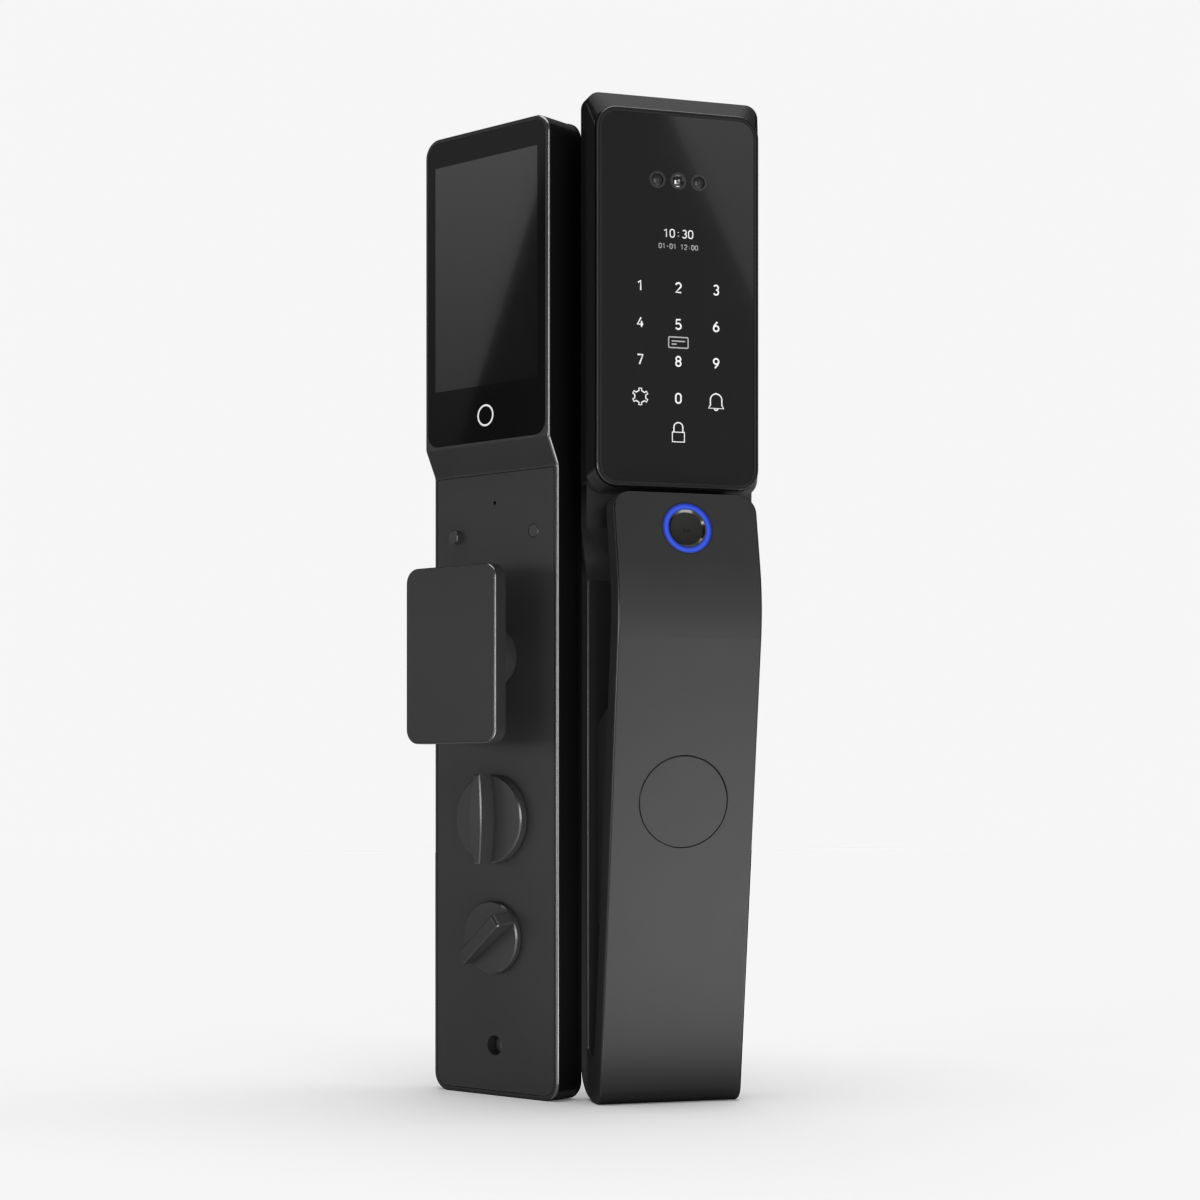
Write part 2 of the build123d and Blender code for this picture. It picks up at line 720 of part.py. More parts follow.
def fingerprint_sensor():
    """Round pad at the bottom of its bezel, with a shallow spherical dish for the fingertip."""
    ball_r = (PAD_R ** 2 + PAD_DISH ** 2) / (2 * PAD_DISH)
    ball = Pos(0, 0, ball_r - PAD_DISH - BEZEL_DROP) * Sphere(ball_r)
    return sensor_place() * (rod(PAD_R, -SENSOR_SEAT, -BEZEL_DROP) - ball)


def key_cover():
    cap = rod(COVER_R, -COVER_T, 0)
    cap = fillet(cap.edges().sort_by(Axis.Z)[-1], COVER_EDGE_R)
    return cover_place() * cap


def key_cylinder():
    return facing(0, 0, KEY_Z) * tube(CYLINDER_R, PLUG_R + RUN_GAP, SLAB_T, cylinder_front())


def key_plug():
    end = cylinder_front()
    plug = rod(PLUG_R, PLUG_START, end)
    keyway = Pos(0, 0, end - KEYWAY_DEPTH) * extrude(Rectangle(KEYWAY_W, KEYWAY_H), amount=KEYWAY_DEPTH)
    slot = extrude(Rectangle(TAIL_W + CLOSE_GAP, TAIL_T + CLOSE_GAP), amount=PLUG_START + TAIL_BITE)
    return facing(0, 0, KEY_Z) * (plug - keyway - slot)


def key_tailpiece():
    reach = PLUG_START + TAIL_BITE
    bar = Pos(0, 0, TAIL_END) * extrude(Rectangle(TAIL_W, TAIL_T), amount=reach - TAIL_END)
    return facing(0, 0, KEY_Z) * bar


# Indoor unit: housing, panel and screen


def indoor_shell():
    """Solid of the indoor unit: thin below, stepped out at the screen, front edges rounded."""
    outline = make_face(Polyline(
        (IN_SEAL_T, 0), (IN_LOW_T, 0), (IN_LOW_T, STEP_LOW), (IN_TOP_T, STEP_HIGH), (IN_TOP_T, IN_HEIGHT),
        (IN_SEAL_T, IN_HEIGHT), close=True))
    outline = fillet(corner(outline, IN_LOW_T, STEP_LOW), STEP_R)
    outline = fillet(corner(outline, IN_TOP_T, STEP_HIGH), STEP_R)
    solid = side(outline, IN_W) & front(plate(IN_W, 0, IN_HEIGHT, IN_R), 0, IN_TOP_T)
    return fillet(rim_edges(solid, faces_along(solid, (0, -1, 0))), IN_EDGE_R)


def panel_outline(inset):
    low = IN_LIP + inset
    return two_radius_plate(IN_W - 2 * low, low, STEP_LOW - PANEL_TOP_GAP - inset, IN_R - low, PANEL_TOP_R)


def glass_outline(inset):
    low = IN_LIP + inset
    return plate(IN_W - 2 * low, STEP_HIGH + GLASS_STEP + inset, IN_HEIGHT - low, IN_R - low)


def knob_list():
    """Height and shaft radius of each thumbturn."""
    return [(DEADBOLT_Z, DEADBOLT_SHAFT_R), (PRIVACY_Z, PRIVACY_SHAFT_R)]


def indoor_housing():
    solid = indoor_shell()
    solid -= front(panel_outline(0), PANEL_BACK, IN_TOP_T)
    solid -= front(panel_outline(LEDGE_W), IN_FLOOR, PANEL_BACK)
    solid -= front(glass_outline(0), IN_GLASS_BACK, IN_TOP_T)
    solid -= front(lcd_outline(SEAM_GAP), LCD_BACK, IN_GLASS_BACK)
    solid -= front(battery_outline(SEAM_GAP), LCD_BACK - BATTERY_T - SEAM_GAP, LCD_BACK)
    solid -= front(plate_outline(SEAM_GAP), 0, PLATE_T)
    for z, shaft_r in knob_list():
        bush_r = shaft_r + RUN_GAP + BUSH_WALL
        solid += facing(0, 0, z) * rod(bush_r + BOSS_WALL, IN_FLOOR, PANEL_BACK)
        solid -= drill(bush_r, 0, z, PLATE_T, PANEL_BACK)
    solid += facing(0, 0, GRIP_Z) * rod(STEM_R + BOSS_WALL, IN_FLOOR, PANEL_BACK)
    solid -= drill(GRIP_SCREW_R + CLOSE_GAP, 0, GRIP_Z, PLATE_T, PANEL_BACK)
    solid -= drill(GRIP_SCREW_HEAD_R + CLOSE_GAP, 0, GRIP_Z, PLATE_T, PLATE_T + GRIP_SCREW_HEAD_T)
    for z in BOLT_Z:
        solid -= drill(SCREW_POCKET_R, 0, z, PLATE_T, PLATE_T + SCREW_POCKET_T)
    for x, z in main_corners():
        solid += facing(x, 0, z) * rod(STANDOFF_R, IN_FLOOR, IN_FLOOR + MAIN_STANDOFF)
    solid += facing(0, 0, PANEL_SCREW_Z) * rod(PANEL_BOSS_R, IN_FLOOR, panel_boss_back())
    return solid - drill(PANEL_SCREW_R + CLOSE_GAP, 0, PANEL_SCREW_Z, PLATE_T, panel_boss_back())


def lcd_outline(gap):
    return Pos(0, LCD_MIDDLE) * Rectangle(LCD_W + 2 * gap, LCD_H + 2 * gap)


def battery_outline(gap):
    return Pos(0, LCD_MIDDLE) * Rectangle(BATTERY_W + 2 * gap, BATTERY_H + 2 * gap)


def plate_outline(gap):
    return plate(PLATE_W + 2 * gap, PLATE_MARGIN - gap, IN_HEIGHT - PLATE_MARGIN + gap, PLATE_R + gap)


def panel_screw_seat():
    return IN_LOW_T - PANEL_SCREW_SINK - PANEL_SCREW_HEAD_T


def panel_boss_back():
    return panel_screw_seat() - PANEL_SEAT_T


def lower_panel():
    solid = front(panel_outline(SEAM_GAP), PANEL_BACK, IN_LOW_T)
    solid += facing(0, 0, PANEL_SCREW_Z) * rod(PANEL_BOSS_R, panel_boss_back(), PANEL_BACK)
    for z, shaft_r in knob_list():
        solid -= drill(shaft_r + SHAFT_HOLE_GAP, 0, z, PANEL_BACK, IN_LOW_T)
    solid -= drill(STEM_R + SEAM_GAP, 0, GRIP_Z, PANEL_BACK, IN_LOW_T)
    for sx in (-1, 1):
        solid -= drill(BUTTON_R + RUN_GAP, sx * BUTTON_X, BUTTON_Z, PANEL_BACK, IN_LOW_T)
    solid -= drill(RESET_R, 0, RESET_Z, PANEL_BACK, IN_LOW_T)
    solid -= drill(PANEL_SCREW_BORE_R, 0, PANEL_SCREW_Z, panel_screw_seat(), IN_LOW_T)
    return solid - drill(PANEL_SCREW_R + CLOSE_GAP, 0, PANEL_SCREW_Z, panel_boss_back(), panel_screw_seat())


def panel_screw():
    seat = panel_screw_seat()
    head_piece = rod(PANEL_SCREW_HEAD_R, seat, seat + PANEL_SCREW_HEAD_T)
    return facing(0, 0, PANEL_SCREW_Z) * (head_piece + rod(PANEL_SCREW_R, CLOSE_GAP, seat))


def indoor_glass():
    return front(glass_outline(SEAM_GAP / 2), IN_GLASS_BACK, IN_TOP_T)


def indoor_display():
    return front(lcd_outline(0), LCD_BACK, IN_GLASS_BACK)


def battery_pack():
    solid = front(battery_outline(0), LCD_BACK - BATTERY_T, LCD_BACK)
    return fillet(solid.edges().filter_by(Axis.Z), EDGE_R)


def indoor_gasket():
    """Seal that stands a little proud of the housing, but not under it."""
    reach = IN_SEAL_REACH
    outer = plate(IN_W + 2 * IN_SEAL_PROUD, 0, IN_HEIGHT + IN_SEAL_PROUD, IN_R + IN_SEAL_PROUD)
    inner = plate(IN_W - 2 * reach, reach, IN_HEIGHT - reach, IN_R - reach)
    return front(outer - inner, 0, IN_SEAL_T)


def mount_plate():
    solid = front(plate_outline(0), 0, PLATE_T)
    for z in BOLT_Z:
        solid -= drill(PLATE_HOLE_R, 0, z, 0, PLATE_T)
    for z, shaft_r in knob_list():
        solid -= drill(shaft_r + BUSH_WALL, 0, z, 0, PLATE_T)
    solid -= drill(CABLE_R, 0, CABLE_Z, 0, PLATE_T)
    return solid - drill(PANEL_SCREW_R + CLOSE_GAP, 0, PANEL_SCREW_Z, 0, PLATE_T)


# Indoor unit: boards and speaker


def main_corners():
    dx = MAIN_W / 2 - STANDOFF_INSET
    return [(sx * dx, z) for sx in (-1, 1) for z in (MAIN_LOW + STANDOFF_INSET, MAIN_HIGH - STANDOFF_INSET)]


def main_board():
    near = IN_FLOOR + MAIN_STANDOFF
    outline = Pos(0, (MAIN_LOW + MAIN_HIGH) / 2) * Rectangle(MAIN_W, MAIN_HIGH - MAIN_LOW)
    return front(outline, near, near + BOARD_T)


def button_bottom():
    return PANEL_BACK - BUTTON_FLANGE_T


def button_switches():
    """One push switch under each button, with room for the button's travel."""
    near = IN_FLOOR + MAIN_STANDOFF + BOARD_T
    far = button_bottom() - BUTTON_TRAVEL - BUTTON_STOP_GAP
    base = Pos(0, 0, near) * extrude(Rectangle(SWITCH_W, SWITCH_W), amount=far - SWITCH_PLUNGER_T - near)
    switch = base + rod(SWITCH_PLUNGER_R, far - SWITCH_PLUNGER_T, far)
    return Compound([facing(sx * BUTTON_X, 0, BUTTON_Z) * switch for sx in (-1, 1)])


def indoor_speaker():
    return facing(VOICE_X, 0, VOICE_Z) * rod(VOICE_R, IN_FLOOR, IN_FLOOR + VOICE_T)


# Indoor unit: pull grip


def pull_plate():
    solid = front(plate(GRIP_W, GRIP_Z - GRIP_H / 2, GRIP_Z + GRIP_H / 2, GRIP_R), GRIP_BACK, GRIP_FRONT)
    edges = [e for e in solid.edges() if abs(e.center().Y + GRIP_FRONT) < CLOSE_GAP]
    solid = fillet(edges, GRIP_EDGE_R)
    return solid - drill(SPIGOT_R + CLOSE_GAP, 0, GRIP_Z, GRIP_BACK, GRIP_BACK + SPIGOT_T)


def pull_stem():
    stem = rod(STEM_R, PANEL_BACK, GRIP_BACK) + rod(SPIGOT_R, GRIP_BACK, GRIP_BACK + SPIGOT_T)
    stem -= rod(GRIP_SCREW_R + CLOSE_GAP, PANEL_BACK, PANEL_BACK + GRIP_SCREW_BITE)
    return facing(0, 0, GRIP_Z) * stem


def pull_screw():
    seat = PLATE_T + GRIP_SCREW_HEAD_T
    head_piece = rod(GRIP_SCREW_HEAD_R, PLATE_T, seat)
    shank = rod(GRIP_SCREW_R, seat, PANEL_BACK + GRIP_SCREW_BITE - CLOSE_GAP)
    return facing(0, 0, GRIP_Z) * (head_piece + shank)


# Indoor unit: thumbturns and buttons


def deadbolt_fin():
    """Finger bar, thickest in the middle and a little crowned along its length."""
    top = DEADBOLT_T + DEADBOLT_FIN_H
    ends = top - DEADBOLT_CROWN
    reach = DEADBOLT_R
    mid, end = DEADBOLT_FIN_W / 2, DEADBOLT_FIN_END / 2
    flanks = [ThreePointArc((-reach, sy * end), (0, sy * mid), (reach, sy * end)) for sy in (-1, 1)]
    tips = [Line((sx * reach, -end), (sx * reach, end)) for sx in (-1, 1)]
    walls = Polyline((reach, ends), (reach, 0), (-reach, 0), (-reach, ends))
    crown = ThreePointArc((-reach, ends), (0, top), (reach, ends))
    bar = extrude(make_face(flanks + tips), amount=top)
    bar &= extrude(Plane.XZ * make_face(walls + crown), amount=DEADBOLT_FIN_W, both=True)
    bar = chamfer(bar.faces().sort_by(Axis.Z)[-1].edges(), FIN_BEVEL)
    return bar & rod(reach, 0, top)


def privacy_fin():
    """Finger bar that rises towards a nose at one end."""
    low = PRIVACY_T + PRIVACY_FIN_LOW
    high = PRIVACY_T + PRIVACY_FIN_H
    nose = PRIVACY_R - PRIVACY_FIN_RAMP
    outline = make_face(Polyline(
        (-PRIVACY_R, 0), (-PRIVACY_R, low), (nose, high),
        (PRIVACY_R, PRIVACY_T), (PRIVACY_R, 0), close=True))
    outline = fillet(corner(outline, nose, high), PRIVACY_FIN_NOSE)
    bar = extrude(Plane.XZ * outline, amount=PRIVACY_FIN_W / 2, both=True)
    bar = chamfer(rim_edges(bar, faces_along(bar, (0, 0, 1))), FIN_BEVEL)
    return bar & rod(PRIVACY_R, 0, high)


def knob(z, disc_r, disc_t, fin, fin_turn, shaft_r):
    """Disc with a finger bar across it and a blind hole for its spindle."""
    disc = rod(disc_r, 0, disc_t)
    disc = chamfer(disc.edges().sort_by(Axis.Z)[-1], KNOB_BEVEL)
    solid = disc + Rot(0, 0, 90 + fin_turn) * fin
    solid -= rod(shaft_r + CLOSE_GAP, 0, SHAFT_BITE)
    return facing(0, IN_LOW_T + KNOB_GAP, z) * solid


def bush_back():
    return PLATE_T + CLIP_T + CLIP_GAP


def spindle(z, shaft_r):
    """Shaft from the knob through its bush, with a clip groove and a squared end at the back."""
    end = IN_LOW_T + KNOB_GAP + SHAFT_BITE - CLOSE_GAP
    shaft = rod(shaft_r, PLATE_T, end)
    shaft -= tube(shaft_r, shaft_r - CLIP_GROOVE, PLATE_T, PLATE_T + CLIP_T)
    across = shaft_r * DRIVE_SQUARE
    square = extrude(Rectangle(across, across), amount=PLATE_T)
    return facing(0, 0, z) * (shaft + square)


def retaining_clip(z, shaft_r):
    ring = tube(shaft_r + CLIP_REACH, shaft_r - CLIP_GROOVE, PLATE_T, PLATE_T + CLIP_T)
    mouth = Pos(0, -shaft_r, PLATE_T) * extrude(Rectangle(CLIP_OPENING, 2 * shaft_r), amount=CLIP_T)
    return facing(0, 0, z) * (ring - mouth)


def knob_bushes():
    bushes = []
    for z, shaft_r in knob_list():
        bore = shaft_r + RUN_GAP
        bushes.append(facing(0, 0, z) * tube(bore + BUSH_WALL, bore, bush_back(), PANEL_BACK))
    return Compound(bushes)


def button(x, proud):
    """Round key whose flange stays behind the panel."""
    stem = rod(BUTTON_R, PANEL_BACK, IN_LOW_T + proud)
    stem = fillet(stem.edges().sort_by(Axis.Z)[-1], BUTTON_EDGE_R)
    flange = rod(BUTTON_FLANGE_R, button_bottom(), PANEL_BACK)
    return facing(x, 0, BUTTON_Z) * (stem + flange)


outdoor = {
    "outdoor_body": outdoor_body(),
    "outdoor_gasket": outdoor_gasket(),
    "threaded_posts": threaded_posts(),
    "cable_grommet": cable_grommet(),
    "handle_shell": handle_shell(),
    "handle_post": handle_post(),
    "handle_screws": handle_screws(),
    "bezel_ring": bezel_ring(),
    "front_glass": front_glass(),
    "camera_lenses": camera_lenses(),
    "touch_board": touch_board(),
    "card_antenna": card_antenna(),
    "status_display": status_display(),
    "camera_module": camera_module(),
    "outdoor_board": outdoor_board(),
    "board_screws": board_screws(),
    "doorbell_speaker": doorbell_speaker(),
    "sensor_cup": sensor_cup(),
    "light_ring": light_ring(),
    "sensor_bezel": sensor_bezel(),
    "fingerprint_sensor": fingerprint_sensor(),
    "key_cover": key_cover(),
    "key_cylinder": key_cylinder(),
    "key_plug": key_plug(),
    "key_tailpiece": key_tailpiece(),
}

indoor = {
    "indoor_housing": indoor_housing(),
    "lower_panel": lower_panel(),
    "panel_screw": panel_screw(),
    "indoor_glass": indoor_glass(),
    "indoor_display": indoor_display(),
    "battery_pack": battery_pack(),
    "indoor_gasket": indoor_gasket(),
    "mount_plate": mount_plate(),
    "main_board": main_board(),
    "button_switches": button_switches(),
    "indoor_speaker": indoor_speaker(),
    "pull_plate": pull_plate(),
    "pull_stem": pull_stem(),
    "pull_screw": pull_screw(),
    "deadbolt_knob": knob(DEADBOLT_Z, DEADBOLT_R, DEADBOLT_T, deadbolt_fin(), 0, DEADBOLT_SHAFT_R),
    "deadbolt_spindle": spindle(DEADBOLT_Z, DEADBOLT_SHAFT_R),
    "deadbolt_clip": retaining_clip(DEADBOLT_Z, DEADBOLT_SHAFT_R),
    "privacy_knob": knob(PRIVACY_Z, PRIVACY_R, PRIVACY_T, privacy_fin(), PRIVACY_FIN_TURN, PRIVACY_SHAFT_R),
    "privacy_spindle": spindle(PRIVACY_Z, PRIVACY_SHAFT_R),
    "privacy_clip": retaining_clip(PRIVACY_Z, PRIVACY_SHAFT_R),
    "knob_bushes": knob_bushes(),
    "open_button": button(-BUTTON_X, BUTTON_PROUD),
    "setup_button": button(BUTTON_X, 0),
}

flare = (HEAD_W - LOOP_W) / 2 * (PAIR_DEPTH - BACK_LAND) / (BAND_BACK - BACK_LAND)
corner_spot = Pos(-LOOP_W / 2 - flare - PAIR_GAP, -PAIR_DEPTH, 0)
beside = corner_spot * Rot(0, 0, -PAIR_TURN) * Pos(-IN_W / 2 - IN_SEAL_PROUD, 0, 0)
nodes = dict(outdoor)
for name, solid in indoor.items():
    nodes[name] = beside * solid

# The origin is the middle of the pair's footprint on the floor
box = Compound(list(nodes.values())).bounding_box()
centre = Pos(-box.center().X, -box.center().Y, -box.min.Z)

os.makedirs("parts", exist_ok=True)
for name, solid in nodes.items():
    export_step(centre * solid, f"parts/{name}.step")
print(len(nodes), "nodes; outdoor back centre at", tuple(round(v, 3) for v in centre.position))
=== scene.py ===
import json
import math

import bmesh
import bpy
from mathutils import Matrix, Vector


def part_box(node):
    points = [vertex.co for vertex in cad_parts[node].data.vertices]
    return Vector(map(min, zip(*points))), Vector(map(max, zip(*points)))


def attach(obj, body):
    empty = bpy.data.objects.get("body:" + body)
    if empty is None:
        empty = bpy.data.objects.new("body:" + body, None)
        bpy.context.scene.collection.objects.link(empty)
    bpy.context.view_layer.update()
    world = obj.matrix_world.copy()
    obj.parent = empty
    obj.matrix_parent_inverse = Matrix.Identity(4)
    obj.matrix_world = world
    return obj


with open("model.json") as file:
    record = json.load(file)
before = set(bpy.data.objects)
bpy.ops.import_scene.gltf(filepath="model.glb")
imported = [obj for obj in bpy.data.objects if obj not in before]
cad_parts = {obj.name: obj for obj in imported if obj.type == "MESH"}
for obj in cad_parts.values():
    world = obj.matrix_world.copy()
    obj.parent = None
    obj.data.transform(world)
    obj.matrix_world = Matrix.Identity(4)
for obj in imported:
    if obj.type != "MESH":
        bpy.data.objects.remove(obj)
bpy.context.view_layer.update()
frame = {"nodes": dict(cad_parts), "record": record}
nodes = frame["nodes"]
print("frame loaded:", len(nodes), "nodes")

mm = 0.001
mainBody = "lock_units"
standUp = Matrix.Rotation(math.radians(90), 4, "X")  # a flat drawing stands up and looks along -Y

# Where the two units stand: the faces that they are mounted by
mounts = {mount["name"]: mount for mount in frame["record"]["mounts"]}
outdoorBack = Vector(mounts["outdoor_back"]["pos_m"])
indoorBack = Vector(mounts["indoor_back"]["pos_m"])
indoorInward = Vector(mounts["indoor_back"]["axis"])
indoorAngle = math.atan2(-indoorInward.x, indoorInward.y)
indoorTurn = Matrix.Rotation(indoorAngle, 4, "Z")
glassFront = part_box("front_glass")[0].y


def onOutdoorGlass(x, z, proud):
    # from the middle of the outdoor unit and the floor, in mm
    return Matrix.Translation((outdoorBack.x + x * mm, glassFront - proud * mm, z * mm)) @ standUp


def onIndoorUnit(x, depth, z):
    # from the middle of the indoor unit's back and the floor, in mm
    spot = Vector((x * mm, -depth * mm, z * mm))
    foot = Vector((indoorBack.x, indoorBack.y, 0))
    return Matrix.Translation(foot) @ indoorTurn @ Matrix.Translation(spot) @ standUp


# Materials


def startMaterial(name):
    material = bpy.data.materials.new(name)
    material.use_nodes = True
    tree = material.node_tree
    shader = tree.nodes["Principled BSDF"]
    coords = tree.nodes.new("ShaderNodeTexCoord")
    return material, tree, shader, coords.outputs["Object"]


# "low" to "high" is the stretch of a noise's values that carries most of it
noiseLook = {"driftDetail": 3.0, "grainDetail": 2.0, "roughness": 0.6, "low": 0.3, "high": 0.7}


def addNoise(tree, coords, size, detail=noiseLook["driftDetail"]):
    noise = tree.nodes.new("ShaderNodeTexNoise")
    noise.inputs["Scale"].default_value = 1.0 / (size * mm)
    noise.inputs["Detail"].default_value = detail
    noise.inputs["Roughness"].default_value = noiseLook["roughness"]
    tree.links.new(coords, noise.inputs["Vector"])
    return noise.outputs["Fac"]


def addRange(tree, value, low, high, fromLow=noiseLook["low"], fromHigh=noiseLook["high"]):
    span = tree.nodes.new("ShaderNodeMapRange")
    span.inputs["From Min"].default_value = fromLow
    span.inputs["From Max"].default_value = fromHigh
    span.inputs["To Min"].default_value = low
    span.inputs["To Max"].default_value = high
    tree.links.new(value, span.inputs["Value"])
    return span.outputs["Result"]


def addTones(tree, value, dark, light):
    ramp = tree.nodes.new("ShaderNodeValToRGB")
    for stop, place, tone in zip(ramp.color_ramp.elements, ("low", "high"), (dark, light)):
        stop.position = noiseLook[place]
        stop.color = (*tone, 1)
    tree.links.new(value, ramp.inputs["Fac"])
    return ramp.outputs["Color"]


def addMath(tree, kind, *values):
    step = tree.nodes.new("ShaderNodeMath")
    step.operation = kind
    for socket, value in zip(step.inputs, values):
        if isinstance(value, (int, float)):
            socket.default_value = value
        else:
            tree.links.new(value, socket)
    return step.outputs[0]


def addBlend(tree, share, first, second):
    blend = tree.nodes.new("ShaderNodeMix")
    blend.data_type = "RGBA"
    tree.links.new(share, blend.inputs["Factor"])
    tree.links.new(first, blend.inputs["A"])
    blend.inputs["B"].default_value = (*second, 1)
    return blend.outputs["Result"]


def addBump(tree, shader, height, strength, distance):
    bump = tree.nodes.new("ShaderNodeBump")
    bump.inputs["Strength"].default_value = strength
    bump.inputs["Distance"].default_value = distance * mm
    tree.links.new(height, bump.inputs["Height"])
    tree.links.new(bump.outputs["Normal"], shader.inputs["Normal"])


def satinFinish(name, look):
    # fine grain in tone, gloss and bump over a broad drift in tone
    material, tree, shader, coords = startMaterial(name)
    shader.inputs["Metallic"].default_value = look["metallic"]
    shader.inputs["Specular IOR Level"].default_value = look["specular"]
    drift = addNoise(tree, coords, look["driftSize"])
    grain = addNoise(tree, coords, look["grainSize"], noiseLook["grainDetail"])
    speckle = addMath(tree, "MULTIPLY", addMath(tree, "ADD", drift, grain), 0.5)  # their mean
    tree.links.new(addTones(tree, speckle, look["dark"], look["light"]), shader.inputs["Base Color"])
    tree.links.new(addRange(tree, grain, *look["roughness"]), shader.inputs["Roughness"])
    addBump(tree, shader, grain, look["bump"], look["grainDepth"])
    return material


castLook = {
    "dark": (0.052, 0.052, 0.053), "light": (0.066, 0.066, 0.067), "metallic": 0.0, "specular": 0.5,
    "roughness": (0.38, 0.48), "driftSize": 60.0, "grainSize": 0.45, "grainDepth": 0.03, "bump": 0.35,
    "edgeTone": (0.15, 0.15, 0.15), "edgeRoughness": 0.26,
}
# painted shade: the side walls of both units are painted a deeper black with lower gloss, above "sideLow"
bodyLook = {**castLook, "paintedShadeTone": (0.020, 0.020, 0.020), "paintedShadeSpecular": 0.12, "sideLow": 250.0}
pullLook = {
    **castLook, "dark": (0.066, 0.066, 0.067), "light": (0.084, 0.084, 0.085),
    "edgeTone": (0.50, 0.50, 0.50), "edgeRoughness": 0.24,
    # a slight painted shade: the pull plate's side walls take its darker tone all over
    "paintedShadeTone": (0.066, 0.066, 0.067), "sideLow": -12.0,
}
# painted shade: the indoor housing's side walls are painted near black, with lower gloss
housingLook = {**pullLook, "paintedShadeTone": (0.021, 0.021, 0.021), "paintedShadeSpecular": 0.11}
knobLook = {
    **castLook, "dark": (0.104, 0.104, 0.105), "light": (0.130, 0.130, 0.131),
    "edgeTone": (0.34, 0.34, 0.34), "edgeRoughness": 0.26,
}
panelLook = {
    "dark": (0.088, 0.088, 0.089), "light": (0.108, 0.108, 0.109), "metallic": 0.0, "specular": 0.45,
    "roughness": (0.44, 0.54), "driftSize": 50.0, "grainSize": 0.40, "grainDepth": 0.03, "bump": 0.35,
}
rimLook = {
    "dark": (0.020, 0.020, 0.020), "light": (0.028, 0.028, 0.028), "metallic": 0.0, "specular": 0.6,
    "roughness": (0.28, 0.36), "driftSize": 30.0, "grainSize": 0.30, "grainDepth": 0.01, "bump": 0.2,
    "edgeTone": (0.40, 0.40, 0.40), "edgeRoughness": 0.20,
}
bezelLook = {
    "dark": (0.17, 0.17, 0.16), "light": (0.23, 0.23, 0.22), "metallic": 1.0, "specular": 0.5,
    "roughness": (0.14, 0.22), "driftSize": 6.0, "grainSize": 0.20, "grainDepth": 0.005, "bump": 0.2,
}
sensorLook = {
    "dark": (0.030, 0.029, 0.028), "light": (0.040, 0.039, 0.037), "metallic": 0.0, "specular": 0.5,
    "roughness": (0.26, 0.34), "driftSize": 8.0, "grainSize": 0.20, "grainDepth": 0.01, "bump": 0.2,
}
rubberLook = {
    "dark": (0.018, 0.018, 0.018), "light": (0.026, 0.026, 0.026), "metallic": 0.0, "specular": 0.3,
    "roughness": (0.70, 0.85), "driftSize": 6.0, "grainSize": 0.35, "grainDepth": 0.05, "bump": 0.5,
}
steelLook = {
    "dark": (0.42, 0.42, 0.41), "light": (0.58, 0.58, 0.57), "metallic": 1.0, "specular": 0.5,
    "roughness": (0.24, 0.38), "driftSize": 5.0, "grainSize": 0.25, "grainDepth": 0.01, "bump": 0.25,
}
brassLook = {
    "dark": (0.50, 0.36, 0.15), "light": (0.66, 0.50, 0.24), "metallic": 1.0, "specular": 0.5,
    "roughness": (0.26, 0.40), "driftSize": 4.0, "grainSize": 0.25, "grainDepth": 0.01, "bump": 0.25,
}
boardLook = {
    "dark": (0.010, 0.060, 0.030), "light": (0.016, 0.090, 0.045), "metallic": 0.0, "specular": 0.5,
    "roughness": (0.35, 0.50), "driftSize": 3.0, "grainSize": 0.60, "grainDepth": 0.03, "bump": 0.3,
}
innerLook = {
    "dark": (0.050, 0.050, 0.052), "light": (0.070, 0.070, 0.072), "metallic": 0.0, "specular": 0.4,
    "roughness": (0.50, 0.62), "driftSize": 15.0, "grainSize": 0.50, "grainDepth": 0.03, "bump": 0.3,
}


def addFacing(tree, turn):
    # which way the surface looks, as seen from a unit: across, outwards and up
    coords = tree.nodes.new("ShaderNodeTexCoord")
    square = tree.nodes.new("ShaderNodeVectorRotate")
    square.rotation_type = "Z_AXIS"
    square.inputs["Angle"].default_value = -turn
    split = tree.nodes.new("ShaderNodeSeparateXYZ")
    tree.links.new(coords.outputs["Normal"], square.inputs["Vector"])
    tree.links.new(square.outputs["Vector"], split.inputs["Vector"])
    return split.outputs


sideBand = {"facing": (0.86, 0.92), "fade": 12.0}


def addPaintedShadeShare(tree, turn, lowest):
    # 1 on the side walls of a unit, above a height: where the painted shade goes
    coords = tree.nodes.new("ShaderNodeTexCoord")
    split = tree.nodes.new("ShaderNodeSeparateXYZ")
    tree.links.new(coords.outputs["Object"], split.inputs["Vector"])
    highest = lowest + sideBand["fade"]
    above = addRange(tree, split.outputs["Z"], 0.0, 1.0, lowest * mm, highest * mm)
    sideways = addMath(tree, "ABSOLUTE", addFacing(tree, turn)["X"])
    aside = addRange(tree, sideways, 0.0, 1.0, *sideBand["facing"])
    return addMath(tree, "MULTIPLY", aside, above)


# how far a surface has turned from the front where the polish starts and where it ends
edgeBand = {
    "start": (0.22, 0.36), "end": (0.84, 0.90), "front": (-0.40, -0.25), "leanWeight": 2.4,
    "underSlope": -2.0, "underStart": -1.1,
}


def addEdgeShare(tree, turn, wholeRim):
    # 1 on the rounded edges of a unit's front, along its sides or all round, and 0 on its faces
    across, out, up = addFacing(tree, turn)
    sideways = addMath(tree, "ABSOLUTE", across)
    lean = addMath(tree, "ABSOLUTE", up)
    if wholeRim:
        under = addMath(tree, "MULTIPLY_ADD", up, edgeBand["underSlope"], edgeBand["underStart"])
        tilt = addMath(tree, "MAXIMUM", sideways, addMath(tree, "MAXIMUM", up, under))
    else:
        lean = addMath(tree, "MULTIPLY", lean, edgeBand["leanWeight"])
        tilt = sideways
    upright = addRange(tree, addMath(tree, "MAXIMUM", sideways, lean), 1.0, 0.0, *edgeBand["end"])
    aside = addRange(tree, tilt, 0.0, 1.0, *edgeBand["start"])
    forward = addRange(tree, out, 1.0, 0.0, *edgeBand["front"])
    return addMath(tree, "MULTIPLY", addMath(tree, "MULTIPLY", aside, upright), forward)


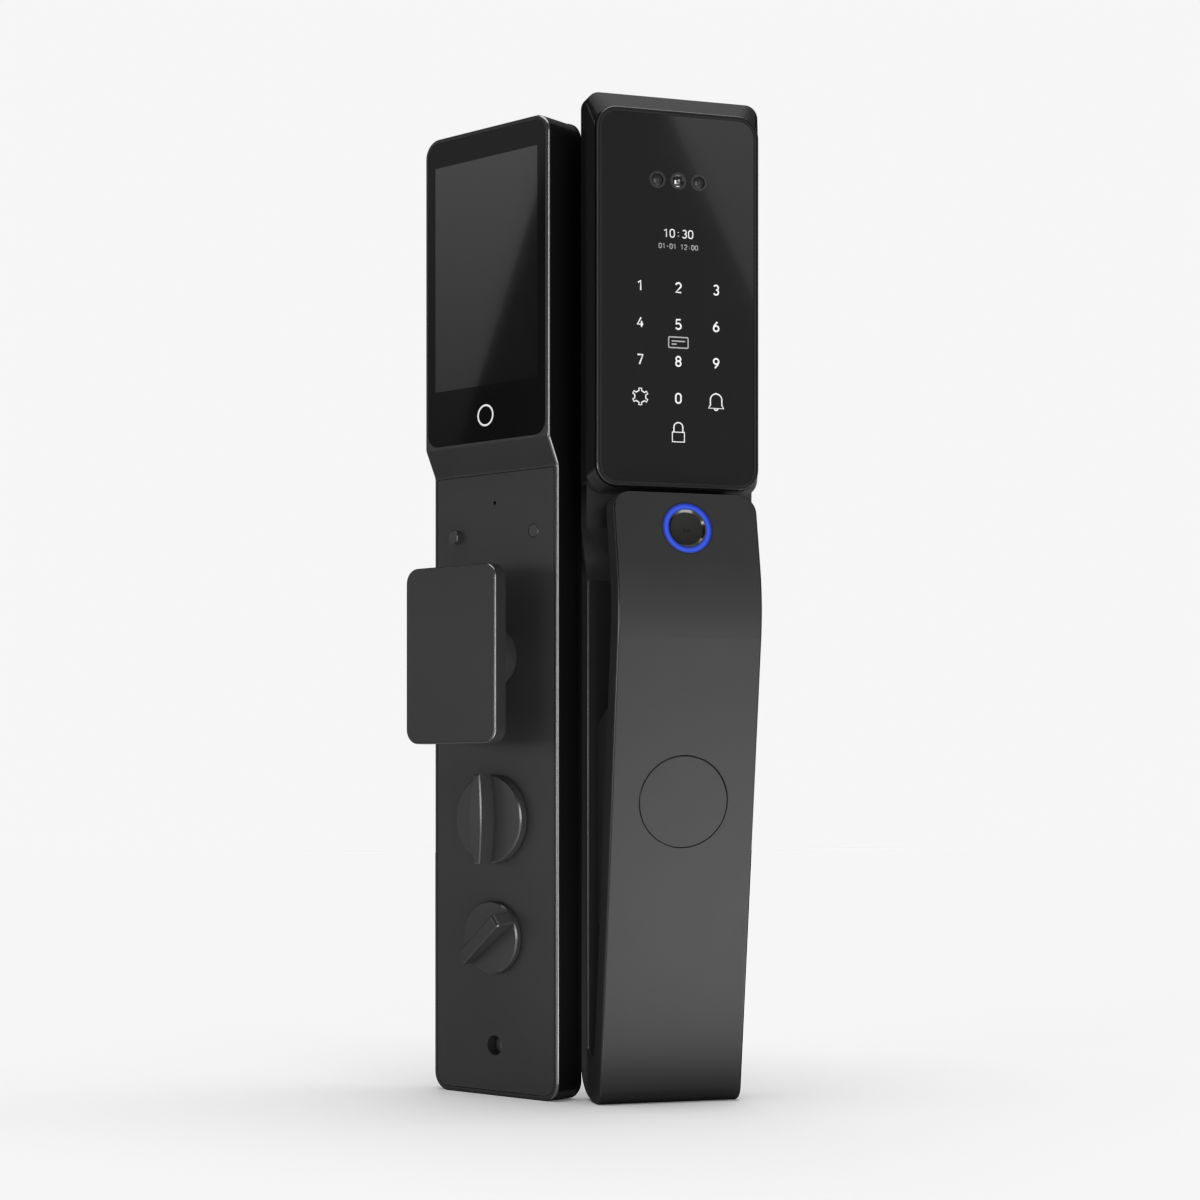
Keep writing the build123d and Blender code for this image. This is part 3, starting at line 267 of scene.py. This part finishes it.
def edgedFinish(name, look, turn, wholeRim):
    # the satin finish with painted shade (darker, less glossy side walls) where asked, and its rounded
    # front edges polished bare
    material = satinFinish(name, look)
    tree = material.node_tree
    shader = tree.nodes["Principled BSDF"]
    # painted shade on the side walls: a darker tone and lower gloss blended in by the side mask
    if "paintedShadeTone" in look:
        side = addPaintedShadeShare(tree, turn, look["sideLow"])
        frontTone = shader.inputs["Base Color"].links[0].from_socket
        tree.links.new(addBlend(tree, side, frontTone, look["paintedShadeTone"]), shader.inputs["Base Color"])
    if "paintedShadeSpecular" in look:
        shadeGloss = addRange(tree, side, look["specular"], look["paintedShadeSpecular"], 0.0, 1.0)
        tree.links.new(shadeGloss, shader.inputs["Specular IOR Level"])
    share = addEdgeShare(tree, turn, wholeRim)
    satinTone = shader.inputs["Base Color"].links[0].from_socket
    satinGloss = shader.inputs["Roughness"].links[0].from_socket
    tree.links.new(addBlend(tree, share, satinTone, look["edgeTone"]), shader.inputs["Base Color"])
    tree.links.new(share, shader.inputs["Metallic"])
    softer = addMath(tree, "MULTIPLY", satinGloss, addMath(tree, "SUBTRACT", 1.0, share))
    polish = addMath(tree, "MULTIPLY", share, look["edgeRoughness"])
    tree.links.new(addMath(tree, "ADD", softer, polish), shader.inputs["Roughness"])
    return material


def glassFinish(name, look):
    # smooth black pane: faint drift under the surface and a clear coat on top
    material, tree, shader, coords = startMaterial(name)
    shader.inputs["Specular IOR Level"].default_value = look["specular"]
    shader.inputs["Coat Weight"].default_value = look["coat"]
    shader.inputs["Coat Roughness"].default_value = look["coatRoughness"]
    drift = addNoise(tree, coords, look["driftSize"])
    tree.links.new(addTones(tree, drift, look["dark"], look["light"]), shader.inputs["Base Color"])
    tree.links.new(addRange(tree, drift, *look["roughness"]), shader.inputs["Roughness"])
    return material


paneLook = {
    "dark": (0.011, 0.011, 0.011), "light": (0.014, 0.014, 0.014), "specular": 0.5, "coat": 0.2,
    "coatRoughness": 0.02, "roughness": (0.03, 0.06), "driftSize": 70.0,
}
deepPaneLook = {
    **paneLook, "dark": (0.018, 0.018, 0.018), "light": (0.022, 0.022, 0.022),
    "specular": 0.12, "coat": 0.0,
}
screenLook = {**paneLook, "dark": (0.021, 0.021, 0.021), "light": (0.025, 0.025, 0.025)}


def addReach(tree, coords, middleX, middleZ, pitch=None):
    # distance in the front's plane from a middle, or from the nearest one in a row of them
    split = tree.nodes.new("ShaderNodeSeparateXYZ")
    tree.links.new(coords, split.inputs["Vector"])
    across = addMath(tree, "ABSOLUTE", addMath(tree, "SUBTRACT", split.outputs["X"], middleX))
    if pitch:
        across = addMath(tree, "PINGPONG", across, pitch / 2)
    upward = addMath(tree, "SUBTRACT", split.outputs["Z"], middleZ)
    squares = addMath(tree, "MULTIPLY_ADD", across, across, addMath(tree, "MULTIPLY", upward, upward))
    return addMath(tree, "SQRT", squares)


def lensFinish(name, look):
    # fine rings round each lens's own middle; the dome in the middle of the row is a dark mirror
    material, tree, shader, coords = startMaterial(name)
    shader.inputs["Coat Weight"].default_value = look["coat"]
    shader.inputs["Coat Roughness"].default_value = look["coatRoughness"]
    row = (outdoorBack.x, look["height"] * mm)
    reach = addReach(tree, coords, *row, pitch=look["pitch"] * mm)
    ringTurn = 2 * math.pi / (look["ringStep"] * mm)
    wave = addMath(tree, "SINE", addMath(tree, "MULTIPLY", reach, ringTurn))
    rings = addTones(tree, addRange(tree, wave, 0.0, 1.0, -1.0, 1.0), look["dark"], look["light"])
    domeEnds = [look["domeRadius"] * mm * share for share in look["domeFade"]]
    dome = addRange(tree, addReach(tree, coords, *row), 1.0, 0.0, *domeEnds)
    tree.links.new(addBlend(tree, dome, rings, look["mirror"]), shader.inputs["Base Color"])
    tree.links.new(dome, shader.inputs["Metallic"])
    tree.links.new(addRange(tree, dome, look["roughness"], look["mirrorRoughness"], 0.0, 1.0),
                   shader.inputs["Roughness"])
    return material


lensLook = {
    "dark": (0.046, 0.046, 0.047), "light": (0.066, 0.066, 0.068), "roughness": 0.30, "coat": 0.5,
    "coatRoughness": 0.05, "pitch": 9.3, "height": 393.0, "ringStep": 1.3, "domeRadius": 2.65,
    "domeFade": (0.97, 1.03), "mirror": (0.42, 0.42, 0.42), "mirrorRoughness": 0.08,
}


def ringFinish(name, look):
    # lit plastic, brightest along the middle of its width
    material, tree, shader, coords = startMaterial(name)
    shader.inputs["Roughness"].default_value = look["roughness"]
    shader.inputs["Emission Strength"].default_value = look["strength"]
    low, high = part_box("light_ring")
    reach = addReach(tree, coords, (low.x + high.x) / 2, (low.z + high.z) / 2)
    outer = (high.x - low.x) / 2
    ramp = tree.nodes.new("ShaderNodeValToRGB")
    ramp.color_ramp.elements.new(look["coreAt"])
    for stop, tone in zip(ramp.color_ramp.elements, (look["inner"], look["core"], look["rim"])):
        stop.color = (*tone, 1)
    width = look["width"] * mm
    tree.links.new(addRange(tree, reach, 0.0, 1.0, outer - width, outer), ramp.inputs["Fac"])
    tree.links.new(ramp.outputs["Color"], shader.inputs["Base Color"])
    tree.links.new(ramp.outputs["Color"], shader.inputs["Emission Color"])
    return material


ringLook = {
    "inner": (0.002, 0.008, 0.08), "core": (0.034, 0.085, 0.62), "rim": (0.003, 0.012, 0.20),
    "coreAt": 0.50, "width": 3.1, "roughness": 0.35, "strength": 0.85,
}


def lightFinish(name, look):
    # lit plastic whose glow drifts a little along its length
    material, tree, shader, coords = startMaterial(name)
    shader.inputs["Roughness"].default_value = look["roughness"]
    shader.inputs["Emission Strength"].default_value = look["strength"]
    drift = addNoise(tree, coords, look["driftSize"])
    tone = addTones(tree, drift, look["dark"], look["light"])
    tree.links.new(tone, shader.inputs["Base Color"])
    tree.links.new(tone, shader.inputs["Emission Color"])
    return material


markLook = {
    "dark": (0.78, 0.78, 0.78), "light": (0.86, 0.86, 0.86), "roughness": 0.5, "strength": 0.75,
    "driftSize": 2.0,
}
faintMarkLook = {**markLook, "dark": (0.36, 0.36, 0.36), "light": (0.44, 0.44, 0.44)}

finishes = {
    "cast_black": edgedFinish("castBlack", castLook, 0.0, False),
    "panel_black": satinFinish("panelBlack", panelLook),
    "rim_black": edgedFinish("rimBlack", rimLook, 0.0, True),
    "black_glass": glassFinish("blackGlass", paneLook),
    "lens_glass": lensFinish("lensGlass", lensLook),
    "blue_light": ringFinish("blueLight", ringLook),
    "sensor_black": satinFinish("sensorBlack", sensorLook),
    "rubber_seal": satinFinish("rubberSeal", rubberLook),
    "plated_steel": satinFinish("platedSteel", steelLook),
    "brass_core": satinFinish("brassCore", brassLook),
    "circuit_board": satinFinish("circuitBoard", boardLook),
    "inner_plastic": satinFinish("innerPlastic", innerLook),
}
castKnob = edgedFinish("castKnob", knobLook, indoorAngle, True)
ownFinish = {
    "sensor_bezel": satinFinish("polishedBezel", bezelLook),
    "indoor_glass": glassFinish("deepGlass", deepPaneLook),
    "outdoor_body": edgedFinish("castBody", bodyLook, 0.0, False),
    "indoor_housing": edgedFinish("castIndoor", housingLook, indoorAngle, True),
    "pull_plate": edgedFinish("castPull", pullLook, indoorAngle, True),
    "pull_stem": castKnob,
    "deadbolt_knob": castKnob,
    "privacy_knob": castKnob,
    "open_button": castKnob,
    "setup_button": castKnob,
}
whiteMark = lightFinish("whiteMark", markLook)
faintMark = lightFinish("faintMark", faintMarkLook)
screenGlass = glassFinish("screenGlass", screenLook)

slotOf = {part["node"]: part["material_slot"] for part in frame["record"]["subparts"]}
for nodeName, node in nodes.items():
    node.data.materials.clear()
    node.data.materials.append(ownFinish.get(nodeName, finishes[slotOf[nodeName]]))
print("finishes on", len(nodes), "nodes")


# Flat marks on the two panes


def addPiece(name, mesh, material, place, body=mainBody):
    mesh.transform(place)
    mesh.materials.clear()
    mesh.materials.append(material)
    piece = bpy.data.objects.new(name, mesh)
    bpy.context.scene.collection.objects.link(piece)
    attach(piece, body)


markPrint = {"thick": 0.06, "proud": 0.03, "arcStep": 12.0, "roundness": 2, "joinGap": 0.1}


def arc(middle, radius, start, end):
    # points along a round stretch, angles in degrees from the right
    steps = max(2, round(abs(end - start) / markPrint["arcStep"]))
    angles = [math.radians(start + (end - start) * i / steps) for i in range(steps + 1)]
    return [(middle[0] + radius * math.cos(a), middle[1] + radius * math.sin(a)) for a in angles]


def strokeMesh(lines, width):
    # each line is a pen stroke in mm; a stroke that ends where it starts is closed
    curve = bpy.data.curves.new("stroke", "CURVE")
    curve.dimensions = "3D"
    curve.bevel_depth = width * mm / 2
    curve.bevel_resolution = markPrint["roundness"]
    curve.use_fill_caps = True
    for line in lines:
        closed = math.dist(line[0], line[-1]) < width * markPrint["joinGap"]
        points = line[:-1] if closed else line
        spline = curve.splines.new("POLY")
        spline.points.add(len(points) - 1)
        for point, (x, y) in zip(spline.points, points):
            point.co = (x * mm, y * mm, 0, 1)
        spline.use_cyclic_u = closed
    holder = bpy.data.objects.new("stroke", curve)
    bpy.context.scene.collection.objects.link(holder)
    mesh = bpy.data.meshes.new_from_object(holder)
    bpy.data.objects.remove(holder)
    # the round pen line is pressed flat
    mesh.transform(Matrix.Diagonal((1, 1, markPrint["thick"] / width, 1)))
    return mesh


# pen strokes of each figure, in a box 2.3 wide and 4 high round the middle
figures = {
    "0": [arc((0, 0.85), 1.15, 0, 180) + arc((0, -0.85), 1.15, 180, 360) + [(1.15, 0.85)]],
    "1": [[(-0.95, 1.15), (0.2, 2.0), (0.2, -2.0)]],
    "2": [arc((0, 0.85), 1.15, 165, -35) + [(-1.15, -2.0), (1.2, -2.0)]],
    "3": [arc((-0.05, 1.0), 1.0, 150, -80) + arc((-0.05, -0.93), 1.08, 80, -155)],
    "4": [[(0.35, 2.0), (-1.25, -0.85), (1.3, -0.85)], [(0.6, 0.5), (0.6, -2.0)]],
    "5": [[(1.0, 2.0), (-0.85, 2.0), (-1.0, 0.1)] + arc((-0.05, -0.78), 1.22, 125, -150)],
    "6": [arc((0, -0.85), 1.15, 0, 360), [(-1.1, -0.55), (-0.75, 0.5), (0.5, 2.0)]],
    "7": [[(-1.2, 2.0), (1.15, 2.0), (-0.35, -2.0)]],
    "8": [arc((0, 1.02), 0.98, 0, 360), arc((0, -0.93), 1.07, 0, 360)],
    "9": [arc((0, 0.85), 1.15, 0, 360), [(1.1, 0.55), (0.75, -0.5), (-0.5, -2.0)]],
    ":": [[(0, 0.75), (0, 0.45)], [(0, -1.05), (0, -1.35)]],
    "-": [[(-0.7, -0.2), (0.7, -0.2)]],
    " ": [],
}
figureBox = {"height": 4.75, "step": 3.35}


def writeFigures(name, text, x, z, height, width, material):
    # a line of figures on the outdoor pane, centred on x
    scale = height / figureBox["height"]
    start = -(len(text) - 1) / 2 * figureBox["step"]
    lines = []
    for i, sign in enumerate(text):
        shift = start + i * figureBox["step"]
        for line in figures[sign]:
            lines.append([((px + shift) * scale, py * scale) for px, py in line])
    addPiece(name, strokeMesh(lines, width), material, onOutdoorGlass(x, z, markPrint["proud"]))


keypad = {
    "columns": (-17.0, 0.0, 17.0), "rows": (347.7, 332.1, 316.4, 300.7),
    "height": 4.75, "stroke": 0.68, "digits": ("123", "456", "789", " 0 "),
}
for rowZ, row in zip(keypad["rows"], keypad["digits"]):
    for columnX, digit in zip(keypad["columns"], row):
        if digit != " ":
            writeFigures("keypadDigit" + digit, digit, columnX, rowZ, keypad["height"],
                         keypad["stroke"], whiteMark)

clockFace = {
    "time": "10:30", "timeZ": 370.6, "timeHeight": 3.9, "stroke": 0.46,
    "day": "01-01 12:00", "dayZ": 365.1, "dayHeight": 2.3, "fineStroke": 0.32,
}
writeFigures("clockTime", clockFace["time"], 0, clockFace["timeZ"], clockFace["timeHeight"],
             clockFace["stroke"], whiteMark)
writeFigures("clockDay", clockFace["day"], 0, clockFace["dayZ"], clockFace["dayHeight"],
             clockFace["fineStroke"], faintMark)

icons = {
    "stroke": 0.52, "gear": (-17.0, 300.7), "bell": (17.0, 299.9),
    "lock": (0.0, 286.3), "card": (0.0, 324.4),
}
# each icon's sizes in mm, round its own middle
gearShape = {"lobes": 6, "valley": 2.45, "foot": 2.55, "tip": 3.55, "footAngle": 13, "tipAngle": 10}
bellShape = {
    "rim": 3.4, "side": 2.6, "low": -2.7, "waist": -1.4, "dome": 0.9, "clapper": 0.8, "knob": (3.5, 3.9),
}
lockShape = {"side": 2.7, "low": -4.1, "leg": 2.0, "shackle": 2.1}
cardShape = {
    "wide": 4.35, "high": 2.25, "corner": 0.5,
    "stripes": (((-3.0, 0.55), (3.0, 0.55)), ((-3.0, -0.75), (-0.8, -0.75))),
}


def gearLines():
    valley, foot, tip = gearShape["valley"], gearShape["foot"], gearShape["tip"]
    foothold, crest = gearShape["footAngle"], gearShape["tipAngle"]
    lobeStep = 360 / gearShape["lobes"]
    lobe = ((-lobeStep / 2, valley), (-foothold, foot), (-crest, tip), (crest, tip), (foothold, foot))
    line = []
    for i in range(gearShape["lobes"]):
        for angle, radius in lobe:
            turn = math.radians(90 + i * lobeStep + angle)
            line.append((radius * math.cos(turn), radius * math.sin(turn)))
    return [line + [line[0]]]


def bellLines():
    rim, side, low, waist = (bellShape[part] for part in ("rim", "side", "low", "waist"))
    dome = arc((0, bellShape["dome"]), side, 180, 0)
    skirt = [(-rim, low), (-side, waist)] + dome + [(side, waist), (rim, low), (-rim, low)]
    return [skirt, arc((0, low), bellShape["clapper"], 180, 360), [(0, z) for z in bellShape["knob"]]]


def lockLines():
    side, low, leg = lockShape["side"], lockShape["low"], lockShape["leg"]
    body = [(-side, low), (side, low), (side, 0.0), (-side, 0.0), (-side, low)]
    return [body, [(-leg, 0.0)] + arc((0, lockShape["shackle"]), leg, 180, 0) + [(leg, 0.0)]]


def cardLines():
    wide, high, corner = cardShape["wide"], cardShape["high"], cardShape["corner"]
    line = []
    for x, y, start in ((wide, high, 0), (-wide, high, 90), (-wide, -high, 180), (wide, -high, 270)):
        middle = (x - math.copysign(corner, x), y - math.copysign(corner, y))
        line += arc(middle, corner, start, start + 90)
    return [line + [line[0]]] + [list(stripe) for stripe in cardShape["stripes"]]


iconDrawings = {
    "gear": (gearLines(), whiteMark),
    "bell": (bellLines(), whiteMark),
    "lock": (lockLines(), whiteMark),
    "card": (cardLines(), faintMark),
}
for iconName, (iconLines, iconFinish) in iconDrawings.items():
    place = onOutdoorGlass(*icons[iconName], markPrint["proud"])
    addPiece(iconName + "Mark", strokeMesh(iconLines, icons["stroke"]), iconFinish, place)
print("keypad, clock and icons on the outdoor glass")

screen = {
    "width": 61.0, "height": 99.7, "middle": 361.45, "front": 20.9,
    "ringZ": 298.4, "ringRadius": 4.4, "ringStroke": 0.8,
}
shape = bmesh.new()
bmesh.ops.create_cube(shape, size=1.0)
sheetSize = Vector((screen["width"], screen["height"], markPrint["proud"])) * mm
bmesh.ops.scale(shape, vec=sheetSize, verts=shape.verts)
sheet = bpy.data.meshes.new("screenSheet")
shape.to_mesh(sheet)
shape.free()
sheetPlace = onIndoorUnit(0, screen["front"] + markPrint["proud"] / 2, screen["middle"])
addPiece("screenSheet", sheet, screenGlass, sheetPlace)
ringMesh = strokeMesh([arc((0, 0), screen["ringRadius"], 0, 360)], screen["ringStroke"])
ringPlace = onIndoorUnit(0, screen["front"] + markPrint["proud"], screen["ringZ"])
addPiece("homeRing", ringMesh, whiteMark, ringPlace)
print("screen and ring on the indoor glass")

# Soft lip on the corner of the indoor gasket that stands beside the outdoor unit

sealLip = {"radius": 0.25, "sides": 12, "inset": 12.0}
gasket = nodes["indoor_gasket"]
gasketLow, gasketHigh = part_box("indoor_gasket")
gasketSpots = [gasket.matrix_world @ vertex.co for vertex in gasket.data.vertices]
gasketCorner = max(gasketSpots, key=lambda spot: spot.x)
lipLength = gasketHigh.z - gasketLow.z - 2 * sealLip["inset"] * mm
lipMiddle = Vector((gasketCorner.x, gasketCorner.y, (gasketLow.z + gasketHigh.z) / 2))
shape = bmesh.new()
bmesh.ops.create_cone(shape, cap_ends=True, segments=sealLip["sides"], radius1=sealLip["radius"] * mm,
                      radius2=sealLip["radius"] * mm, depth=lipLength)
lipMesh = bpy.data.meshes.new("sealLip")
shape.to_mesh(lipMesh)
shape.free()
addPiece("sealLip", lipMesh, finishes["rubber_seal"], Matrix.Translation(lipMiddle))
print("lip on the indoor gasket")

# Camera

# the place is measured from the middle of the outdoor unit's back
photoView = {
    "place": (-0.31975, -0.9826, 0.134), "turn": -16.8, "lens": 70.35, "sensor": 36.0, "shiftUp": 0.159,
    "nearest": 0.01,
}
cameraData = bpy.data.cameras.new("photoCamera")
cameraData.lens = photoView["lens"]
cameraData.sensor_width = photoView["sensor"]
cameraData.shift_y = photoView["shiftUp"]
cameraData.clip_start = photoView["nearest"]
camera = bpy.data.objects.new("photoCamera", cameraData)
camera.location = Vector((outdoorBack.x, outdoorBack.y, 0)) + Vector(photoView["place"])
camera.rotation_euler = (math.radians(90), 0, math.radians(photoView["turn"]))
bpy.context.scene.collection.objects.link(camera)
bpy.context.scene.camera = camera

# Floor, backdrop and lights

floorLook = {"size": 8.0, "tone": 0.90, "roughness": 0.8}


def grey(tone):
    return (tone, tone, tone, 1)


floorMesh = bpy.data.meshes.new("studioFloor")
shape = bmesh.new()
bmesh.ops.create_grid(shape, x_segments=1, y_segments=1, size=floorLook["size"] / 2)
shape.to_mesh(floorMesh)
shape.free()
floor = bpy.data.objects.new("studioFloor", floorMesh)
bpy.context.scene.collection.objects.link(floor)
floor.is_shadow_catcher = True
floorMaterial, _, floorShader, _ = startMaterial("paleFloor")
floorShader.inputs["Roughness"].default_value = floorLook["roughness"]
floorShader.inputs["Base Color"].default_value = grey(floorLook["tone"])
floorMesh.materials.append(floorMaterial)

# "seen" is what the camera sees, "fill" what falls on the lock
backdrop = {"seen": 0.921, "fill": 0.04}
world = bpy.data.worlds.new("paleStudio")
bpy.context.scene.world = world
world.use_nodes = True
worldTree = world.node_tree
worldTree.nodes.clear()
seenSky = worldTree.nodes.new("ShaderNodeBackground")
seenSky.inputs["Color"].default_value = grey(backdrop["seen"])
fillSky = worldTree.nodes.new("ShaderNodeBackground")
fillSky.inputs["Color"].default_value = grey(backdrop["fill"])
rays = worldTree.nodes.new("ShaderNodeLightPath")
pick = worldTree.nodes.new("ShaderNodeMixShader")
worldOut = worldTree.nodes.new("ShaderNodeOutputWorld")
worldTree.links.new(rays.outputs["Is Camera Ray"], pick.inputs["Fac"])
worldTree.links.new(fillSky.outputs[0], pick.inputs[1])
worldTree.links.new(seenSky.outputs[0], pick.inputs[2])
worldTree.links.new(pick.outputs[0], worldOut.inputs["Surface"])

# glow is a softbox's brightness beside the white backdrop
# the gloss-only ones show as reflections alone
softboxes = {
    "topBox": {"place": (0.05, -0.05, 1.70), "aim": (0.0, 0.0, 0.40), "size": (1.3, 1.3), "glow": 1.3},
    "frontStrip": {"place": (0.40, -2.60, 0.21), "aim": (0.40, 0.0, 0.21), "size": (0.8, 0.39),
                   "glow": 0.5},
    "leftStrip": {"place": (-1.70, -0.80, 0.16), "aim": (0.0, 0.0, 0.16), "size": (0.9, 0.30),
                  "glow": 3.1},
    "backBox": {"place": (0.90, 1.90, 0.32), "aim": (0.0, 0.0, 0.20), "size": (1.2, 0.6), "glow": 0.9,
                "shadow": False},
    "floorGlow": {"place": (0.28, -0.55, 0.002), "aim": (0.28, -0.55, 1.0), "size": (0.56, 0.70),
                  "glow": 1.9},
    "footGlow": {"place": (0.14, -0.145, 0.002), "aim": (0.14, -0.145, 1.0), "size": (0.34, 0.15),
                 "glow": 1.4},
    "edgeCard": {"place": (-0.20, -2.60, 0.66), "aim": (-0.20, 0.0, 0.66), "size": (0.6, 1.3), "glow": 2.6,
                 "glossOnly": True},
    "panelCard": {"place": (-2.20, 0.40, 0.27), "aim": (0.0, 0.40, 0.27), "size": (1.4, 0.52), "glow": 1.15,
                  "glossOnly": True},
    "glassGlow": {"place": (0.95, -2.55, 0.70), "aim": (0.95, 0.0, 0.70), "size": (1.2, 1.8), "glow": 0.24,
                  "glossOnly": True},
    "glassCard": {"place": (1.279, -2.50, 1.210), "aim": (1.279, 0.0, 1.210), "size": (0.8, 0.9),
                  "glow": 1.0, "fade": (0.1, 1.0), "roll": 26.4, "glossOnly": True},
    "screenCard": {"place": (-2.20, 0.762, 0.94), "aim": (0.0, 0.762, 0.94), "size": (0.8, 0.9),
                   "glow": 1.3, "fade": (0.0, 1.0), "roll": -17.7, "glossOnly": True},
}


def addFade(data, low, high):
    # the lamp's strength runs from low at its bottom edge to high at its top edge
    data.use_nodes = True
    tree = data.node_tree
    glow = tree.nodes["Emission"]
    spot = tree.nodes.new("ShaderNodeNewGeometry")
    split = tree.nodes.new("ShaderNodeSeparateXYZ")
    tree.links.new(spot.outputs["Parametric"], split.inputs["Vector"])
    tree.links.new(addRange(tree, split.outputs["Y"], low, high, 0.0, 1.0), glow.inputs["Strength"])


def addSoftbox(name, box):
    data = bpy.data.lights.new(name, "AREA")
    data.shape = "RECTANGLE"
    data.size, data.size_y = box["size"]
    data.energy = box["glow"] * math.pi * data.size * data.size_y
    if "fade" in box:
        addFade(data, *box["fade"])
    data.use_shadow = box.get("shadow", True)
    lamp = bpy.data.objects.new(name, data)
    aim = Vector(box["aim"]) - Vector(box["place"])
    facing = aim.to_track_quat("-Z", "Y").to_matrix().to_4x4()
    roll = Matrix.Rotation(math.radians(box.get("roll", 0.0)), 4, "Z")
    lamp.matrix_world = Matrix.Translation(box["place"]) @ facing @ roll
    lamp.visible_camera = False
    lamp.visible_diffuse = not box.get("glossOnly", False)
    bpy.context.scene.collection.objects.link(lamp)


for boxName, box in softboxes.items():
    addSoftbox(boxName, box)
bpy.context.scene.view_settings.view_transform = "Standard"
print("camera, floor and", len(softboxes), "softboxes set")
